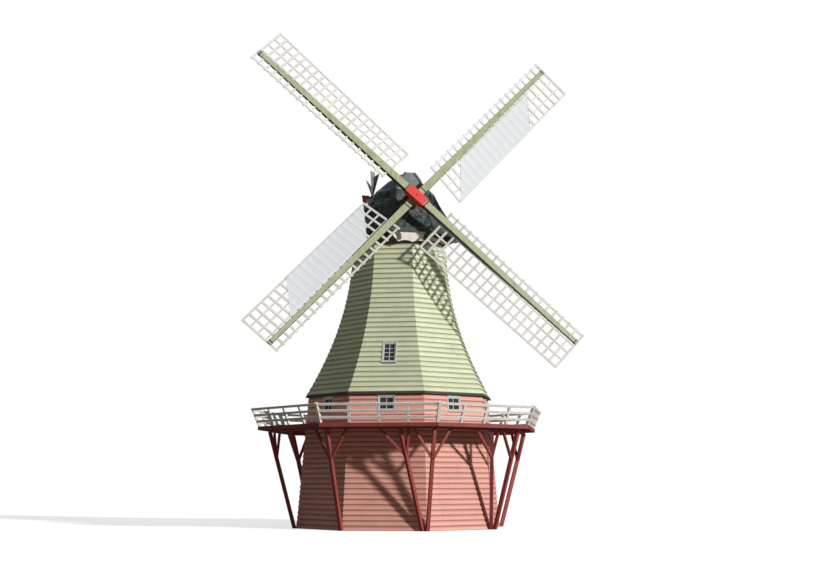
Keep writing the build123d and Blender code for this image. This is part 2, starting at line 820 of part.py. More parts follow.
def fan_blade():
    """One tapered blade along Z, pitched about its own length."""
    root, tip = fan_blade_root / 2, fan_blade_tip / 2
    start = fan_hub_radius * fan_socket_share
    outline = [(-root, start), (root, start), (tip, fan_radius), (-tip, fan_radius)]
    return Rot(0, 0, 90 - fan_pitch) * solid_between(outline, fan_blade_thickness / 2)


def fan_post(hand):
    """A raking post with the short arm that holds the fan's shaft."""
    foot = (hand * fan_post_x, fan_beam_y, cap_eave_z)
    head = (hand * fan_post_x, fan_y, fan_z)
    timber = beam(foot, head, fan_post_size, fan_post_size, fan_post_size) & above(cap_eave_z + seat)
    timber &= below(fan_z + fan_post_head)
    arm_length = fan_post_size + fan_arm_reach
    arm_middle = hand * (fan_post_x + fan_post_size / 2 - arm_length / 2)
    arm = Pos(arm_middle, fan_y, fan_z) * Rot(0, 90, 0) * Cylinder(fan_arm_radius, arm_length)
    bore = Pos(0, fan_y, fan_z) * Rot(0, 90, 0) * Cylinder(fan_shaft_radius + bore_gap, far)
    return timber + arm - bore


def build_fantail():
    """Posts on the cap, and the fan that turns between them."""
    nodes["fan_posts"] = gathered(fan_post(hand) for hand in (-1, 1))
    centre = Pos(0, fan_y, fan_z)
    across = Rot(0, 90, 0)
    shaft_half = fan_post_x + fan_post_size / 2 + fan_shaft_end
    nodes["fan_shaft"] = centre * across * Cylinder(fan_shaft_radius, 2 * shaft_half)
    hub = across * (Cylinder(fan_hub_radius, fan_hub_length) - Cylinder(fan_shaft_radius + seat, far))
    blades = [Rot(360 / fan_blades * i, 0, 0) * fan_blade() for i in range(fan_blades)]
    bored = [blade - across * Cylinder(fan_shaft_radius + seat, far) for blade in blades]
    nodes["fan_wheel"] = centre * hub.fuse(*bored)


def main():
    """Builds every node and writes it to the parts folder."""
    build_tower()
    build_gallery()
    build_railing()
    nodes["curb"] = ring(curb_radius, curb_width, smock_top_z, curb_height)
    build_cap()
    build_sails()
    build_fantail()
    os.makedirs("parts", exist_ok=True)
    for name, shape in nodes.items():
        export_step(shape, f"parts/{name}.step")


nodes = {}
main()
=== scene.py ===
import bpy
import bmesh
import json
import random
from math import cos, inf, pi, radians, sin, sqrt, tan
from mathutils import Matrix, Vector

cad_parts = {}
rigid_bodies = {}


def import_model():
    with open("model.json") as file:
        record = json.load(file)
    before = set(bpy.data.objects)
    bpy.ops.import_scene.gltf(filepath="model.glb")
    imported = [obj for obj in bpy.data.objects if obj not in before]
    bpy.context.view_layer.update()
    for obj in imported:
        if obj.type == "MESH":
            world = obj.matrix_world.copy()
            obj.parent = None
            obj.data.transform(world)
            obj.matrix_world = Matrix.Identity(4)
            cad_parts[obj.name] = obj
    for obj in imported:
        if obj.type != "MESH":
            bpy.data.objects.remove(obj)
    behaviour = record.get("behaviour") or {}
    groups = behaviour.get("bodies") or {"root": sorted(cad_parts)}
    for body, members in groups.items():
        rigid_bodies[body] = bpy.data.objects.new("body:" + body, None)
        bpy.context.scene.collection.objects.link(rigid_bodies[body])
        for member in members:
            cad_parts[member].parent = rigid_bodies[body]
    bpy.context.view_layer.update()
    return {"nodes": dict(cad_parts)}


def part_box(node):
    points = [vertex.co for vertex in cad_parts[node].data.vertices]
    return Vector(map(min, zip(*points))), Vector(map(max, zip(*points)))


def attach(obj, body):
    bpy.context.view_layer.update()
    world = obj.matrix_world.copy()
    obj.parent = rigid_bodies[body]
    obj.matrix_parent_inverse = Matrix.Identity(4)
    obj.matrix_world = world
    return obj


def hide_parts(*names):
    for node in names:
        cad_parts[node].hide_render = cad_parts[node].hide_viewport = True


bl_info = {
    "name": "Traditional windmill",
    "version": (1, 0, 0),
    "blender": (4, 5, 0),
    "location": "3D View > Sidebar > Windmill",
    "description": "Dresses a smock windmill with boards, shingles, sails, paint and light",
    "category": "Object",
}

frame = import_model()

# Lengths are metres. A face of the octagon has its middle at 22.5 degrees and each 45 degrees on.
HALF_TURN = radians(22.5)
# The faces of the smock that have a window.
SMOCK_WINDOWS = (1, 5)

# Settings


def length(label, text, value):
    """A size in metres."""
    return bpy.props.FloatProperty(name=label, description=text, default=value, min=0.0, unit="LENGTH")


def number(label, text, value):
    """A plain number or an angle in degrees."""
    return bpy.props.FloatProperty(name=label, description=text, default=value)


def colour(label, text, value):
    """A colour in linear light."""
    return bpy.props.FloatVectorProperty(name=label, description=text, default=value, subtype="COLOR", size=3)


class TowerSizes(bpy.types.PropertyGroup):
    """Sizes of the base, the smock and their windows."""

    base_foot: length("Base foot", "Corner radius at the ground", 5.63)
    base_top: length("Base top", "Corner radius at the top of the base", 5.03)
    base_height: length("Base height", "Height of the base", 7.0)
    lip: length("Skirt", "Corner radius of the smock's lip", 5.22)
    lip_drop: length("Skirt lap", "How far the skirt laps over the base", 0.05)
    smock_top: length("Smock top", "Corner radius under the cap", 2.65)
    smock_top_z: length("Smock top height", "Height of the smock's top", 15.2)
    flare: number("Flare", "Exponent of the flare", 1.93)
    courses: bpy.props.IntProperty(name="Flats", description="Flats of the wall under the boards", default=12)
    board: length("Board", "Height of a weatherboard that shows", 0.272)
    board_foot: length("Board foot", "How far a board's foot stands out", 0.058)
    board_head: length("Board head", "How far a board's head stands out", 0.01)
    casing: length("Casing", "Width of a window's casing", 0.04)
    base_window_z: length("Base window", "Height of the base windows' middle", 6.47)
    base_window: bpy.props.FloatVectorProperty(
        name="Base window size", description="Width and height", default=(0.83, 0.72), size=2, unit="LENGTH")
    smock_window_z: length("Smock window", "Height of the smock windows' middle", 9.175)
    smock_window: bpy.props.FloatVectorProperty(
        name="Smock window size", description="Width and height", default=(0.69, 1.11), size=2, unit="LENGTH")
    frame_bar: length("Frame bar", "Width of a window frame's bar", 0.075)


class GallerySizes(bpy.types.PropertyGroup):
    """Sizes of the gallery and its railing."""

    deck_radius: length("Deck radius", "Corner radius of the deck", 7.8)
    deck_z: length("Deck height", "Height of the deck", 5.38)
    deck_thickness: length("Deck thickness", "Thickness of a plank", 0.05)
    plank: length("Plank", "Width of a deck plank", 0.175)
    fascia: length("Fascia", "Thickness of the fascia", 0.045)
    rail_height: length("Rail height", "Height of the railing", 0.96)
    rail_lean: number("Rail lean", "Degrees that the railing leans out", 21.6)
    rail_inset: length("Rail inset", "From the deck's edge to a post's foot", 0.09)
    post: length("Post", "Width of a railing post", 0.15)
    rail: length("Rail", "Height of a rail", 0.125)
    bays: bpy.props.IntProperty(name="Bays", description="Bays between two corner posts", default=4)
    rows: bpy.props.IntProperty(name="Rails", description="Rails one above the other", default=3)
    strut_foot: length("Strut foot", "Corner radius of a strut's foot", 5.77)
    bearer: length("Bearer", "Corner radius of the bearers", 7.15)
    bearer_under: length("Bearer height", "Height of the bearers' underside", 5.08)
    fork_share: number("Fork", "Height of a strut's fork, as a share of the strut's", 0.73)
    strut: length("Strut", "Depth of a strut", 0.2)
    bolt: length("Bolt", "Radius of a bolt head on the fascia", 0.017)


class CapSizes(bpy.types.PropertyGroup):
    """Sizes of the cap's roof."""

    eave_z: length("Eave height", "Height of the eave", 15.95)
    height: length("Cap height", "From eave to crown", 3.2)
    half: length("Half width", "Half the eave's width", 3.2)
    front: length("Front reach", "From the axis to the front eave", 2.85)
    tail: length("Tail reach", "From the axis to the tail", 4.3)
    course: length("Course", "Height of a shingle that shows", 0.19)
    shingle: length("Shingle", "Width of a shingle", 0.2)
    hood_share: number("Hood", "Share of the height above which the roof has smooth sheets", 0.7)


class SailSizes(bpy.types.PropertyGroup):
    """Sizes of the windshaft, the sails and the cloths."""

    hub_y: number("Hub place", "The hub's place along Y", -3.4)
    hub_z: length("Hub height", "Height of the hub", 17.55)
    shaft_raise: number("Shaft raise", "Degrees that the windshaft rises to the front", 12.0)
    shaft_radius: length("Shaft radius", "Radius of the windshaft", 0.26)
    rest_turn: number("Rest turn", "Degrees of the first arm at rest", 46.2)
    radius: length("Sail radius", "From the hub to a stock's tip", 11.6)
    heel: length("Heel", "From the hub to the first bar", 2.03)
    tip: length("Tip", "From the hub to the last bar", 11.57)
    bays: bpy.props.IntProperty(name="Bays", description="Bays of a lattice", default=20)
    wide: length("Wide side", "From the stock's middle to the trailing hem", 1.8)
    narrow: length("Narrow side", "From the stock's middle to the leading hem", 0.5)
    near: length("Near lath", "From the stock's middle to the first lath", 0.25)
    weather_heel: number("Weather at the heel", "Degrees of twist at the heel", 16.0)
    weather_tip: number("Weather at the tip", "Degrees of twist at the tip", 5.0)
    bar_width: length("Bar width", "Width of a sailbar", 0.125)
    bar_depth: length("Bar depth", "Depth of a sailbar", 0.058)
    bar_end: length("Bar end", "How far a bar runs past the leading hemlath", 0.05)
    lath_width: length("Lath width", "Width of an uplong", 0.085)
    lath_depth: length("Lath depth", "Depth of a lath", 0.042)
    hem_width: length("Hemlath width", "Width of a hemlath", 0.105)
    offset: length("Stock offset", "From the canister's middle to a stock's", 0.165)
    cloth: length("Cloth", "Thickness of the canvas with its coat", 0.006)
    sag: length("Sag", "How far the cloth dips between two bars", 0.014)


class Paints(bpy.types.PropertyGroup):
    """Colours of the paints and materials."""

    base: colour("Base", "Weatherboards of the base", (0.86, 0.42, 0.35))
    smock: colour("Smock", "Weatherboards of the smock", (0.74, 0.81, 0.56))
    bare: colour("Bare wood", "Weathered wood under the paint", (0.30, 0.26, 0.22))
    dark_wood: colour("Dark timber", "Oiled timber", (0.10, 0.075, 0.06))
    trim: colour("Trim", "Boards at the skirt and the eaves", (0.05, 0.055, 0.05))
    floor: colour("Floors", "Bare boards of the floors", (0.36, 0.26, 0.18))
    lattice: colour("Lattices", "Bars and laths of the sails", (0.79, 0.78, 0.755))
    gallery: colour("Gallery", "Timbers of the gallery", (0.30, 0.045, 0.04))
    deck: colour("Deck", "Planks of the deck", (0.34, 0.17, 0.13))
    stock: colour("Stocks", "Stocks of the sails", (0.44, 0.49, 0.29))
    canister: colour("Canister", "Iron block at the hub", (0.80, 0.045, 0.04))
    iron: colour("Iron", "Shaft and straps", (0.055, 0.06, 0.065))
    shingles: colour("Shingles", "Shingles of the cap", (0.052, 0.080, 0.074))
    hood: colour("Hood", "Smooth sheets at the crown", (0.16, 0.21, 0.22))
    cream: colour("Cream", "Board under the front eave", (0.82, 0.75, 0.68))
    bracket: colour("Brackets", "Brackets under the front eave", (0.06, 0.058, 0.035))
    rail: colour("Railing", "Rails and posts of the gallery", (0.74, 0.72, 0.70))
    window: colour("Windows", "Frames, casings and sills", (0.60, 0.62, 0.60))
    canvas: colour("Canvas", "Sail cloths", (0.79, 0.84, 0.89))
    fan_light: colour("Fan, light", "Light blades", (0.52, 0.57, 0.62))
    fan_dark: colour("Fan, dark", "Dark blades", (0.13, 0.15, 0.15))
    fan_post: colour("Fan posts", "Posts of the fantail", (0.50, 0.03, 0.03))
    glass: colour("Panes", "Glass of the windows", (0.035, 0.045, 0.05))


def tower():
    """The tower's sizes."""
    return bpy.context.scene.mill_tower


def gallery():
    """The gallery's sizes."""
    return bpy.context.scene.mill_gallery


def cap():
    """The cap's sizes."""
    return bpy.context.scene.mill_cap


def sails():
    """The sails' sizes."""
    return bpy.context.scene.mill_sails


def paints():
    """The paints."""
    return bpy.context.scene.mill_paints


# Places on the tower


def apothem(radius):
    """From the axis to the middle of a face."""
    return radius * cos(HALF_TURN)


def base_reach(z):
    """Distance of the base's wall from the axis at a height."""
    t = tower()
    return apothem(t.base_foot + (t.base_top - t.base_foot) * z / t.base_height)


def smock_reach(z):
    """Distance of the smock's wall from the axis, on the flats between its courses."""
    t = tower()
    lip_z = t.base_height - t.lip_drop
    place = min(max((z - lip_z) / (t.smock_top_z - lip_z), 0.0), 1.0) * t.courses
    step = min(int(place), t.courses - 1)

    def flared(course):
        """Corner radius at the foot of a flat."""
        return t.smock_top + (t.lip - t.smock_top) * (1 - course / t.courses) ** t.flare

    low, high = flared(step), flared(step + 1)
    return apothem(low + (high - low) * (place - step))


def on_face(index, out, along, z):
    """A point beside a face: its distance from the axis, its place along the face, its height."""
    turn = HALF_TURN * (2 * index + 1)
    return Vector((out * cos(turn) - along * sin(turn), out * sin(turn) + along * cos(turn), z))


# Meshes

# A timber's grain starts at a random place within this many metres, so that no two timbers look alike. The
# seeds of a part's pieces count on from a hundred of their own.
GRAIN_SPREAD = 40
# Corners of a CAD piece closer than this are one, and faces within this angle are one flat.
WELD = 2e-5
FLAT = radians(0.5)
# Two edges of a timber count as square to each other when the cosine between them is below this.
SQUARE = 0.3
# Edges sharper than this angle are chamfered.
CHAMFERED = radians(30)
# Widths of the chamfers.
STRAP_EDGE = 0.002
SHINGLE_EDGE = 0.003
LATH_EDGE = 0.004
BOARD_EDGE = 0.005
TIMBER_EDGE = 0.006
POST_EDGE = 0.008
STRUT_EDGE = 0.010
CANISTER_EDGE = 0.012
STOCK_EDGE = 0.016


class Timbers:
    """Collects timbers of eight corners, with the shade and the grain that the materials read."""

    def __init__(self, seed):
        self.chance = random.Random(seed)
        self.verts, self.faces, self.shades, self.grain, self.kinds, self.laps = [], [], [], [], [], []

    def add(self, corners, kind=0, laps=None):
        """Corners round one end, then the same at the other end. Laps say how near each is to a lap, where
        the paint puts painted shade.
        """
        first, count = len(self.verts), len(corners) // 2
        start = sum(corners[:count], Vector()) / count
        along = (sum(corners[count:], Vector()) / count - start).normalized()
        across = (corners[1] - corners[0]).normalized()
        through = along.cross(across)
        shift = Vector([self.chance.uniform(0, GRAIN_SPREAD) for _ in range(3)])
        loops = [list(range(count)), list(range(2 * count - 1, count - 1, -1))]
        loops += [[i, i + count, (i + 1) % count + count, (i + 1) % count] for i in range(count)]
        for corner in corners:
            place = corner - start
            self.grain += [place.dot(axis) + step for axis, step in zip((along, across, through), shift)]
        self.verts += corners
        self.faces += [[first + i for i in loop] for loop in loops]
        self.shades += [self.chance.uniform(-1, 1)] * len(loops)
        self.kinds += [kind] * len(loops)
        self.laps += laps or (0.0,) * len(corners)

    def bar(self, start, end, width, depth, level=(0, 0, 1), kind=0):
        """A straight timber whose width is square to the level direction."""
        start, end = Vector(start), Vector(end)
        along = (end - start).normalized()
        side = Vector(level).cross(along).normalized()
        up = along.cross(side).normalized()
        side, up = side * width / 2, up * depth / 2
        ring = [-side - up, side - up, side + up, -side + up]
        self.add([start + step for step in ring] + [end + step for step in ring], kind)

    def moved(self, matrix):
        """Moves what has been collected so far."""
        self.verts = [matrix @ point for point in self.verts]
        return self

    def make(self, name, body, materials, bevel=BOARD_EDGE, replaced=()):
        """The object of what has been collected."""
        mesh = bpy.data.meshes.new(name)
        mesh.from_pydata([tuple(v) for v in self.verts], [], self.faces)
        mesh.attributes.new("shade", "FLOAT", "FACE").data.foreach_set("value", self.shades)
        mesh.attributes.new("grain", "FLOAT_VECTOR", "POINT").data.foreach_set("vector", self.grain)
        # The lap attribute says where the paint puts painted shade under the laps.
        mesh.attributes.new("lap", "FLOAT", "POINT").data.foreach_set("value", self.laps)
        mesh.polygons.foreach_set("material_index", self.kinds)
        return placed(mesh, name, body, materials, bevel, replaced)


def placed(mesh, name, body, materials, bevel, replaced):
    """Bevels a mesh, gives it its materials and puts it on its body."""
    shape = bmesh.new()
    shape.from_mesh(mesh)
    bmesh.ops.recalc_face_normals(shape, faces=shape.faces)
    shape.to_mesh(mesh)
    shape.free()
    for finish in materials:
        mesh.materials.append(finish)
    obj = bpy.data.objects.new(name, mesh)
    bpy.context.scene.collection.objects.link(obj)
    if bevel:
        edge = obj.modifiers.new("Edge", "BEVEL")
        edge.width = bevel
        edge.segments = 1
        edge.limit_method = "ANGLE"
        edge.angle_limit = CHAMFERED
        ready = obj.evaluated_get(bpy.context.evaluated_depsgraph_get())
        obj.data = bpy.data.meshes.new_from_object(ready)
        obj.modifiers.clear()
    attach(obj, body)
    if replaced:
        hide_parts(*replaced)
    return obj


def loose_parts(shape):
    """The separate solids of a mesh, each a list of its corners."""
    left = set(shape.verts)
    parts = []
    for start in shape.verts:
        if start not in left:
            continue
        left.discard(start)
        part, front = [], [start]
        while front:
            vert = front.pop()
            part.append(vert)
            for edge in vert.link_edges:
                other = edge.other_vert(vert)
                if other in left:
                    left.discard(other)
                    front.append(other)
        parts.append(part)
    return parts


def timber_axes(part):
    """Along a solid's longest edge, across it, and square to both."""
    edges = {edge for vert in part for edge in vert.link_edges}
    runs = sorted((edge.verts[1].co - edge.verts[0].co for edge in edges), key=lambda run: -run.length)
    along = runs[0].normalized()
    square = [run for run in runs if abs(run.normalized().dot(along)) < SQUARE]
    across = square[0] if square else along.orthogonal()
    across = (across - along * across.dot(along)).normalized()
    return along, across, along.cross(across)


def softened(node, body, materials, bevel, seed, kind_of=None):
    """A finer copy of a CAD piece: clean flats, worn edges, and the grain along each timber."""
    chance = random.Random(seed)
    shape = bmesh.new()
    shape.from_mesh(frame["nodes"][node].data)
    bmesh.ops.remove_doubles(shape, verts=shape.verts, dist=WELD)
    bmesh.ops.dissolve_limit(shape, angle_limit=FLAT, verts=shape.verts, edges=shape.edges)
    for layer in list(shape.verts.layers.float_vector.values()):
        shape.verts.layers.float_vector.remove(layer)
    grain = shape.verts.layers.float_vector.new("grain")
    shade = shape.faces.layers.float.new("shade")
    for part in loose_parts(shape):
        axes = timber_axes(part)
        shift = Vector([chance.uniform(0, GRAIN_SPREAD) for _ in range(3)])
        tone = chance.uniform(-1, 1)
        for vert in part:
            vert[grain] = Vector([vert.co.dot(axis) for axis in axes]) + shift
            for face in vert.link_faces:
                face[shade] = tone
                face.smooth = False
                face.material_index = kind_of(face) if kind_of else 0
    mesh = bpy.data.meshes.new(node + "_finish")
    shape.to_mesh(mesh)
    shape.free()
    return placed(mesh, node + "_finish", body, materials, bevel, [node])


# Materials

# Depth that a full step of a material's relief stands for.
RELIEF_DEPTH = 0.02
# Noises on timber, along three axes: fibres along the grain, and streaks down from above. Then the scale of
# the patches, and how much patches and fibres change the tone.
FIBRES = (1.6, 42.0, 42.0)
STREAKS = (7.0, 7.0, 0.45)
PATCHES = 0.9
PATCH_TONE = 0.35
FIBRE_TONE = 0.22
# The shadow under a lap: its colour on white, how fast it fades and how strong it is.
LAP_SHADE_TINT = (0.20, 0.17, 0.16, 1.0)
LAP_SHADE_FADE = 1.3
LAP_SHADE_SHARE = 0.85
# Worn places are fibres and patches in these shares, from a level on and with an edge this sharp.
WORN_SHARES = (0.6, 0.4)
WORN_FROM = 0.56
WORN_EDGE = 9.0
# Streaks: their colour, the level that they start from and how sharp they are.
STREAK_TINT = (0.10, 0.09, 0.07, 1.0)
STREAK_FROM = 0.48
STREAK_EDGE = 4.0
# How much rougher worn wood and patches are.
WORN_ROUGH = 0.3
PATCH_ROUGH = 0.12
# Canvas: noises of the threads and the creases, how sharp the painted shadow over a bar is, how strong the
# bar shadows and the blue-grey tint along the creases are, and their colour.
THREADS = (150.0, 150.0, 150.0)
CREASES = (0.5, 2.2, 1.0)
BAR_SHADOW_EDGE = 14.0
BAR_SHADOW_SHARE = 0.45
CREASE_TINT_SHARE = 0.3
BAR_SHADOW_AND_CREASE_TINT = (0.42, 0.50, 0.60, 1.0)
# The canvas's roughness, and how much its threads change the roughness and the relief.
CANVAS_ROUGH = (0.8, 0.1)
THREAD_RELIEF = 0.12
# Finishes: the paint, how much boards differ in tone, the wear, the dirt and the roughness. Some go on
# with the strength of the relief, how metallic the surface is, and where the grain is read.
FINISHES = {
    "base": ("base", 0.06, 0.25, 0.06, 0.55),
    "smock": ("smock", 0.05, 0.2, 0.06, 0.55),
    "inside": ("dark_wood", 0.0, 0.2, 0.2, 0.7, 0.5, 0.0, "object"),
    "floor": ("floor", 0.0, 0.3, 0.3, 0.7, 0.5, 0.0, "object"),
    "trim": ("trim", 0.10, 0.2, 0.1, 0.5),
    "rail": ("rail", 0.05, 0.22, 0.20, 0.5),
    "window": ("window", 0.05, 0.22, 0.20, 0.5),
    "gallery": ("gallery", 0.18, 0.25, 0.3, 0.5),
    "deck": ("deck", 0.25, 0.5, 0.3, 0.65),
    "stock": ("stock", 0.05, 0.3, 0.35, 0.5),
    "canister": ("canister", 0.05, 0.25, 0.2, 0.35, 0.25),
    "iron": ("iron", 0.1, 0.2, 0.2, 0.45, 0.4, 0.6),
    "timber": ("dark_wood", 0.2, 0.3, 0.3, 0.65),
    "shingles": ("shingles", 0.75, 0.12, 0.12, 0.55, 0.8),
    "hood": ("hood", 0.22, 0.15, 0.25, 0.4, 0.3),
    "cream": ("cream", 0.05, 0.2, 0.25, 0.5),
    "bracket": ("bracket", 0.1, 0.2, 0.2, 0.5),
    "lattice": ("lattice", 0.06, 0.25, 0.2, 0.5),
    "fan light": ("fan_light", 0.1, 0.25, 0.3, 0.45),
    "fan dark": ("fan_dark", 0.1, 0.25, 0.2, 0.45),
    "fan black": ("trim", 0.1, 0.2, 0.2, 0.45),
    "fan post": ("fan_post", 0.1, 0.25, 0.3, 0.45),
    "glass": ("glass", 0.0, 0.0, 0.3, 0.06, 0.05, 0.0, "object"),
}


def add(tree, kind, settings=None, **values):
    """A shader node with its options and its inputs, each a value or another node's output.

    An input goes by its name, with underscores for spaces, or by its number after the letter n.
    """
    node = tree.nodes.new(kind)
    for key, value in (settings or {}).items():
        setattr(node, key, value)
    for key, value in values.items():
        socket = node.inputs[int(key[1:])] if key[1:].isdigit() else node.inputs[key.replace("_", " ")]
        if isinstance(value, bpy.types.NodeSocket):
            tree.links.new(value, socket)
        else:
            socket.default_value = value
    return node


def maths(tree, operation, first, second=0.0, clamp=False):
    """One step of arithmetic."""
    settings = {"operation": operation, "use_clamp": clamp}
    return add(tree, "ShaderNodeMath", settings, n0=first, n1=second).outputs[0]


def mixed(tree, share, first, second, blend="MIX"):
    """Mixes two colours."""
    settings = {"data_type": "RGBA", "blend_type": blend}
    return add(tree, "ShaderNodeMix", settings, n0=share, n6=first, n7=second).outputs[2]


def noise(tree, place, scale, detail=4.0):
    """Soft noise from 0 to 1."""
    return add(tree, "ShaderNodeTexNoise", Vector=place, Scale=scale, Detail=detail).outputs["Fac"]


def stretched(tree, place, scale):
    """A place scaled along its three axes."""
    return add(tree, "ShaderNodeVectorMath", {"operation": "MULTIPLY"}, n0=place, n1=scale).outputs[0]


def new_group(name, inputs, outputs):
    """An empty node group with its sockets."""
    tree = bpy.data.node_groups.new(name, "ShaderNodeTree")
    for label, kind, value in inputs:
        tree.interface.new_socket(label, in_out="INPUT", socket_type=kind).default_value = value
    for label, kind in outputs:
        tree.interface.new_socket(label, in_out="OUTPUT", socket_type=kind)
    return tree, tree.nodes.new("NodeGroupInput").outputs, tree.nodes.new("NodeGroupOutput").inputs


def paint_group():
    """Paint on timber: tone from board to board, grain, wear down to the wood, rain streaks and painted shade
    under the laps.
    """
    colours = [(label, "NodeSocketColor", (1, 1, 1, 1)) for label in ("Paint", "Under")]
    amounts = [(label, "NodeSocketFloat", 0.3) for label in ("Tone", "Wear", "Dirt", "Rough")]
    tree, given, result = new_group(
        "Paint on timber",
        [*colours, ("Place", "NodeSocketVector", (0, 0, 0)), *amounts],
        [("Color", "NodeSocketColor"), ("Roughness", "NodeSocketFloat"), ("Height", "NodeSocketFloat")],
    )
    around = add(tree, "ShaderNodeTexCoord").outputs["Object"]
    fibres = noise(tree, stretched(tree, given["Place"], FIBRES), 1.0, 6.0)
    patches = noise(tree, around, PATCHES, 5.0)
    rain = noise(tree, stretched(tree, around, STREAKS), 1.0, 4.0)
    # The tone of a whole board, of patches and of fibres.
    shade = add(tree, "ShaderNodeAttribute", {"attribute_name": "shade"}).outputs["Fac"]
    tone = maths(tree, "MULTIPLY", shade, given["Tone"])
    cloud = maths(tree, "MULTIPLY", maths(tree, "SUBTRACT", patches, 0.5), PATCH_TONE)
    fibre_tone = maths(tree, "MULTIPLY", maths(tree, "SUBTRACT", fibres, 0.5), FIBRE_TONE)
    total = maths(tree, "ADD", maths(tree, "ADD", tone, cloud), maths(tree, "ADD", fibre_tone, 1.0))
    grey = add(tree, "ShaderNodeCombineColor", Red=total, Green=total, Blue=total).outputs[0]
    toned = mixed(tree, 1.0, given["Paint"], grey, "MULTIPLY")
    # Painted shade where one board laps another.
    lap = add(tree, "ShaderNodeAttribute", {"attribute_name": "lap"}).outputs["Fac"]
    lap = maths(tree, "MULTIPLY", maths(tree, "POWER", lap, LAP_SHADE_FADE), LAP_SHADE_SHARE)
    shaded = mixed(tree, 1.0, toned, LAP_SHADE_TINT, "MULTIPLY")
    lap_shaded = mixed(tree, lap, toned, shaded)
    # Bare wood where fibres and patches are both high.
    parts = [maths(tree, "MULTIPLY", part, share) for part, share in zip((fibres, patches), WORN_SHARES)]
    worn = maths(tree, "SUBTRACT", maths(tree, "ADD", *parts), WORN_FROM)
    worn = maths(tree, "MULTIPLY", worn, WORN_EDGE, clamp=True)
    worn = maths(tree, "MULTIPLY", worn, given["Wear"])
    bare = mixed(tree, worn, lap_shaded, given["Under"])
    # Streaks that the rain leaves.
    streak = maths(tree, "MULTIPLY", maths(tree, "SUBTRACT", rain, STREAK_FROM), STREAK_EDGE, clamp=True)
    streak = maths(tree, "MULTIPLY", streak, given["Dirt"])
    tree.links.new(mixed(tree, streak, bare, STREAK_TINT), result["Color"])
    rough = maths(tree, "ADD", given["Rough"], maths(tree, "MULTIPLY", worn, WORN_ROUGH))
    rough = maths(tree, "ADD", rough, maths(tree, "MULTIPLY", patches, PATCH_ROUGH))
    tree.links.new(rough, result["Roughness"])
    tree.links.new(maths(tree, "SUBTRACT", maths(tree, "MULTIPLY", fibres, 0.5), worn), result["Height"])
    return tree


def canvas_group():
    """Canvas: a weave, soft tinted creases, and a faint painted shadow where the cloth lies on each bar."""
    tree, given, result = new_group(
        "Canvas",
        [("Canvas", "NodeSocketColor", (1, 1, 1, 1)), ("Bay", "NodeSocketFloat", 0.5)],
        [("Color", "NodeSocketColor"), ("Roughness", "NodeSocketFloat"), ("Height", "NodeSocketFloat")],
    )
    place = add(tree, "ShaderNodeAttribute", {"attribute_name": "grain"}).outputs["Vector"]
    # The cloth's places are counted from the sail's heel, so a painted bar shadow comes at each whole bay.
    along = add(tree, "ShaderNodeSeparateXYZ", n0=place).outputs[0]
    beat = maths(tree, "PINGPONG", maths(tree, "DIVIDE", along, given["Bay"]), 0.5)
    line = maths(tree, "SUBTRACT", 1.0, maths(tree, "MULTIPLY", beat, BAR_SHADOW_EDGE, clamp=True), clamp=True)
    # Threads, creases along the cloth, and a blue-grey tint along the creases.
    weave = noise(tree, stretched(tree, place, THREADS), 1.0, 2.0)
    crease = noise(tree, stretched(tree, place, CREASES), 1.0, 5.0)
    crease_tint = maths(tree, "MULTIPLY", maths(tree, "SUBTRACT", crease, 0.5), CREASE_TINT_SHARE, clamp=True)
    # Painted bar shadows and the crease tint both lean to the same blue-grey.
    share = maths(tree, "ADD", maths(tree, "MULTIPLY", line, BAR_SHADOW_SHARE), crease_tint, clamp=True)
    tree.links.new(mixed(tree, share, given["Canvas"], BAR_SHADOW_AND_CREASE_TINT), result["Color"])
    rough, change = CANVAS_ROUGH
    tree.links.new(maths(tree, "ADD", maths(tree, "MULTIPLY", weave, change), rough), result["Roughness"])
    relief = maths(tree, "ADD", maths(tree, "MULTIPLY", weave, THREAD_RELIEF), crease)
    tree.links.new(relief, result["Height"])
    return tree


def place_of(tree, kind):
    """Where a point lies: along its timber's grain, or in the whole object."""
    if kind == "grain":
        return add(tree, "ShaderNodeAttribute", {"attribute_name": "grain"}).outputs["Vector"]
    return add(tree, "ShaderNodeTexCoord").outputs["Object"]


def surface(name, group, bump, metallic=0.0, place=None, **values):
    """A material with one node group and the shader that it feeds."""
    made_of = bpy.data.materials.new(name)
    made_of.use_nodes = True
    tree = made_of.node_tree
    tree.nodes.clear()
    made = add(tree, "ShaderNodeGroup", {"node_tree": group}, **values)
    if place:
        tree.links.new(place_of(tree, place), made.inputs["Place"])
    relief = add(tree, "ShaderNodeBump", Strength=bump, Distance=RELIEF_DEPTH, Height=made.outputs["Height"])
    shader = add(tree, "ShaderNodeBsdfPrincipled", Metallic=metallic, Normal=relief.outputs[0])
    for label, socket in (("Color", "Base Color"), ("Roughness", "Roughness")):
        tree.links.new(made.outputs[label], shader.inputs[socket])
    add(tree, "ShaderNodeOutputMaterial", Surface=shader.outputs[0])
    return made_of


def painted(name, paint, tone, wear, dirt, rough, bump=0.5, metallic=0.0, place="grain"):
    """Painted, oiled or weathered timber or metal."""
    group = bpy.data.node_groups.get("Paint on timber") or paint_group()
    colours = {"Paint": (*paint, 1.0), "Under": (*paints().bare, 1.0)}
    amounts = {"Tone": tone, "Wear": wear, "Dirt": dirt, "Rough": rough}
    return surface(name, group, bump, metallic, place, **colours, **amounts)


def canvas(name):
    """The cloths' canvas."""
    s = sails()
    bay = (s.tip - s.heel) / s.bays
    return surface(name, canvas_group(), 0.35, Canvas=(*paints().canvas, 1.0), Bay=bay)


def material(name):
    """The material of a name, made when it is first asked for."""
    label = "Mill " + name
    found = bpy.data.materials.get(label)
    if found:
        return found
    if name == "canvas":
        return canvas(label)
    paint, *values = FINISHES[name]
    return painted(label, getattr(paints(), paint), *values)


# The tower's boards

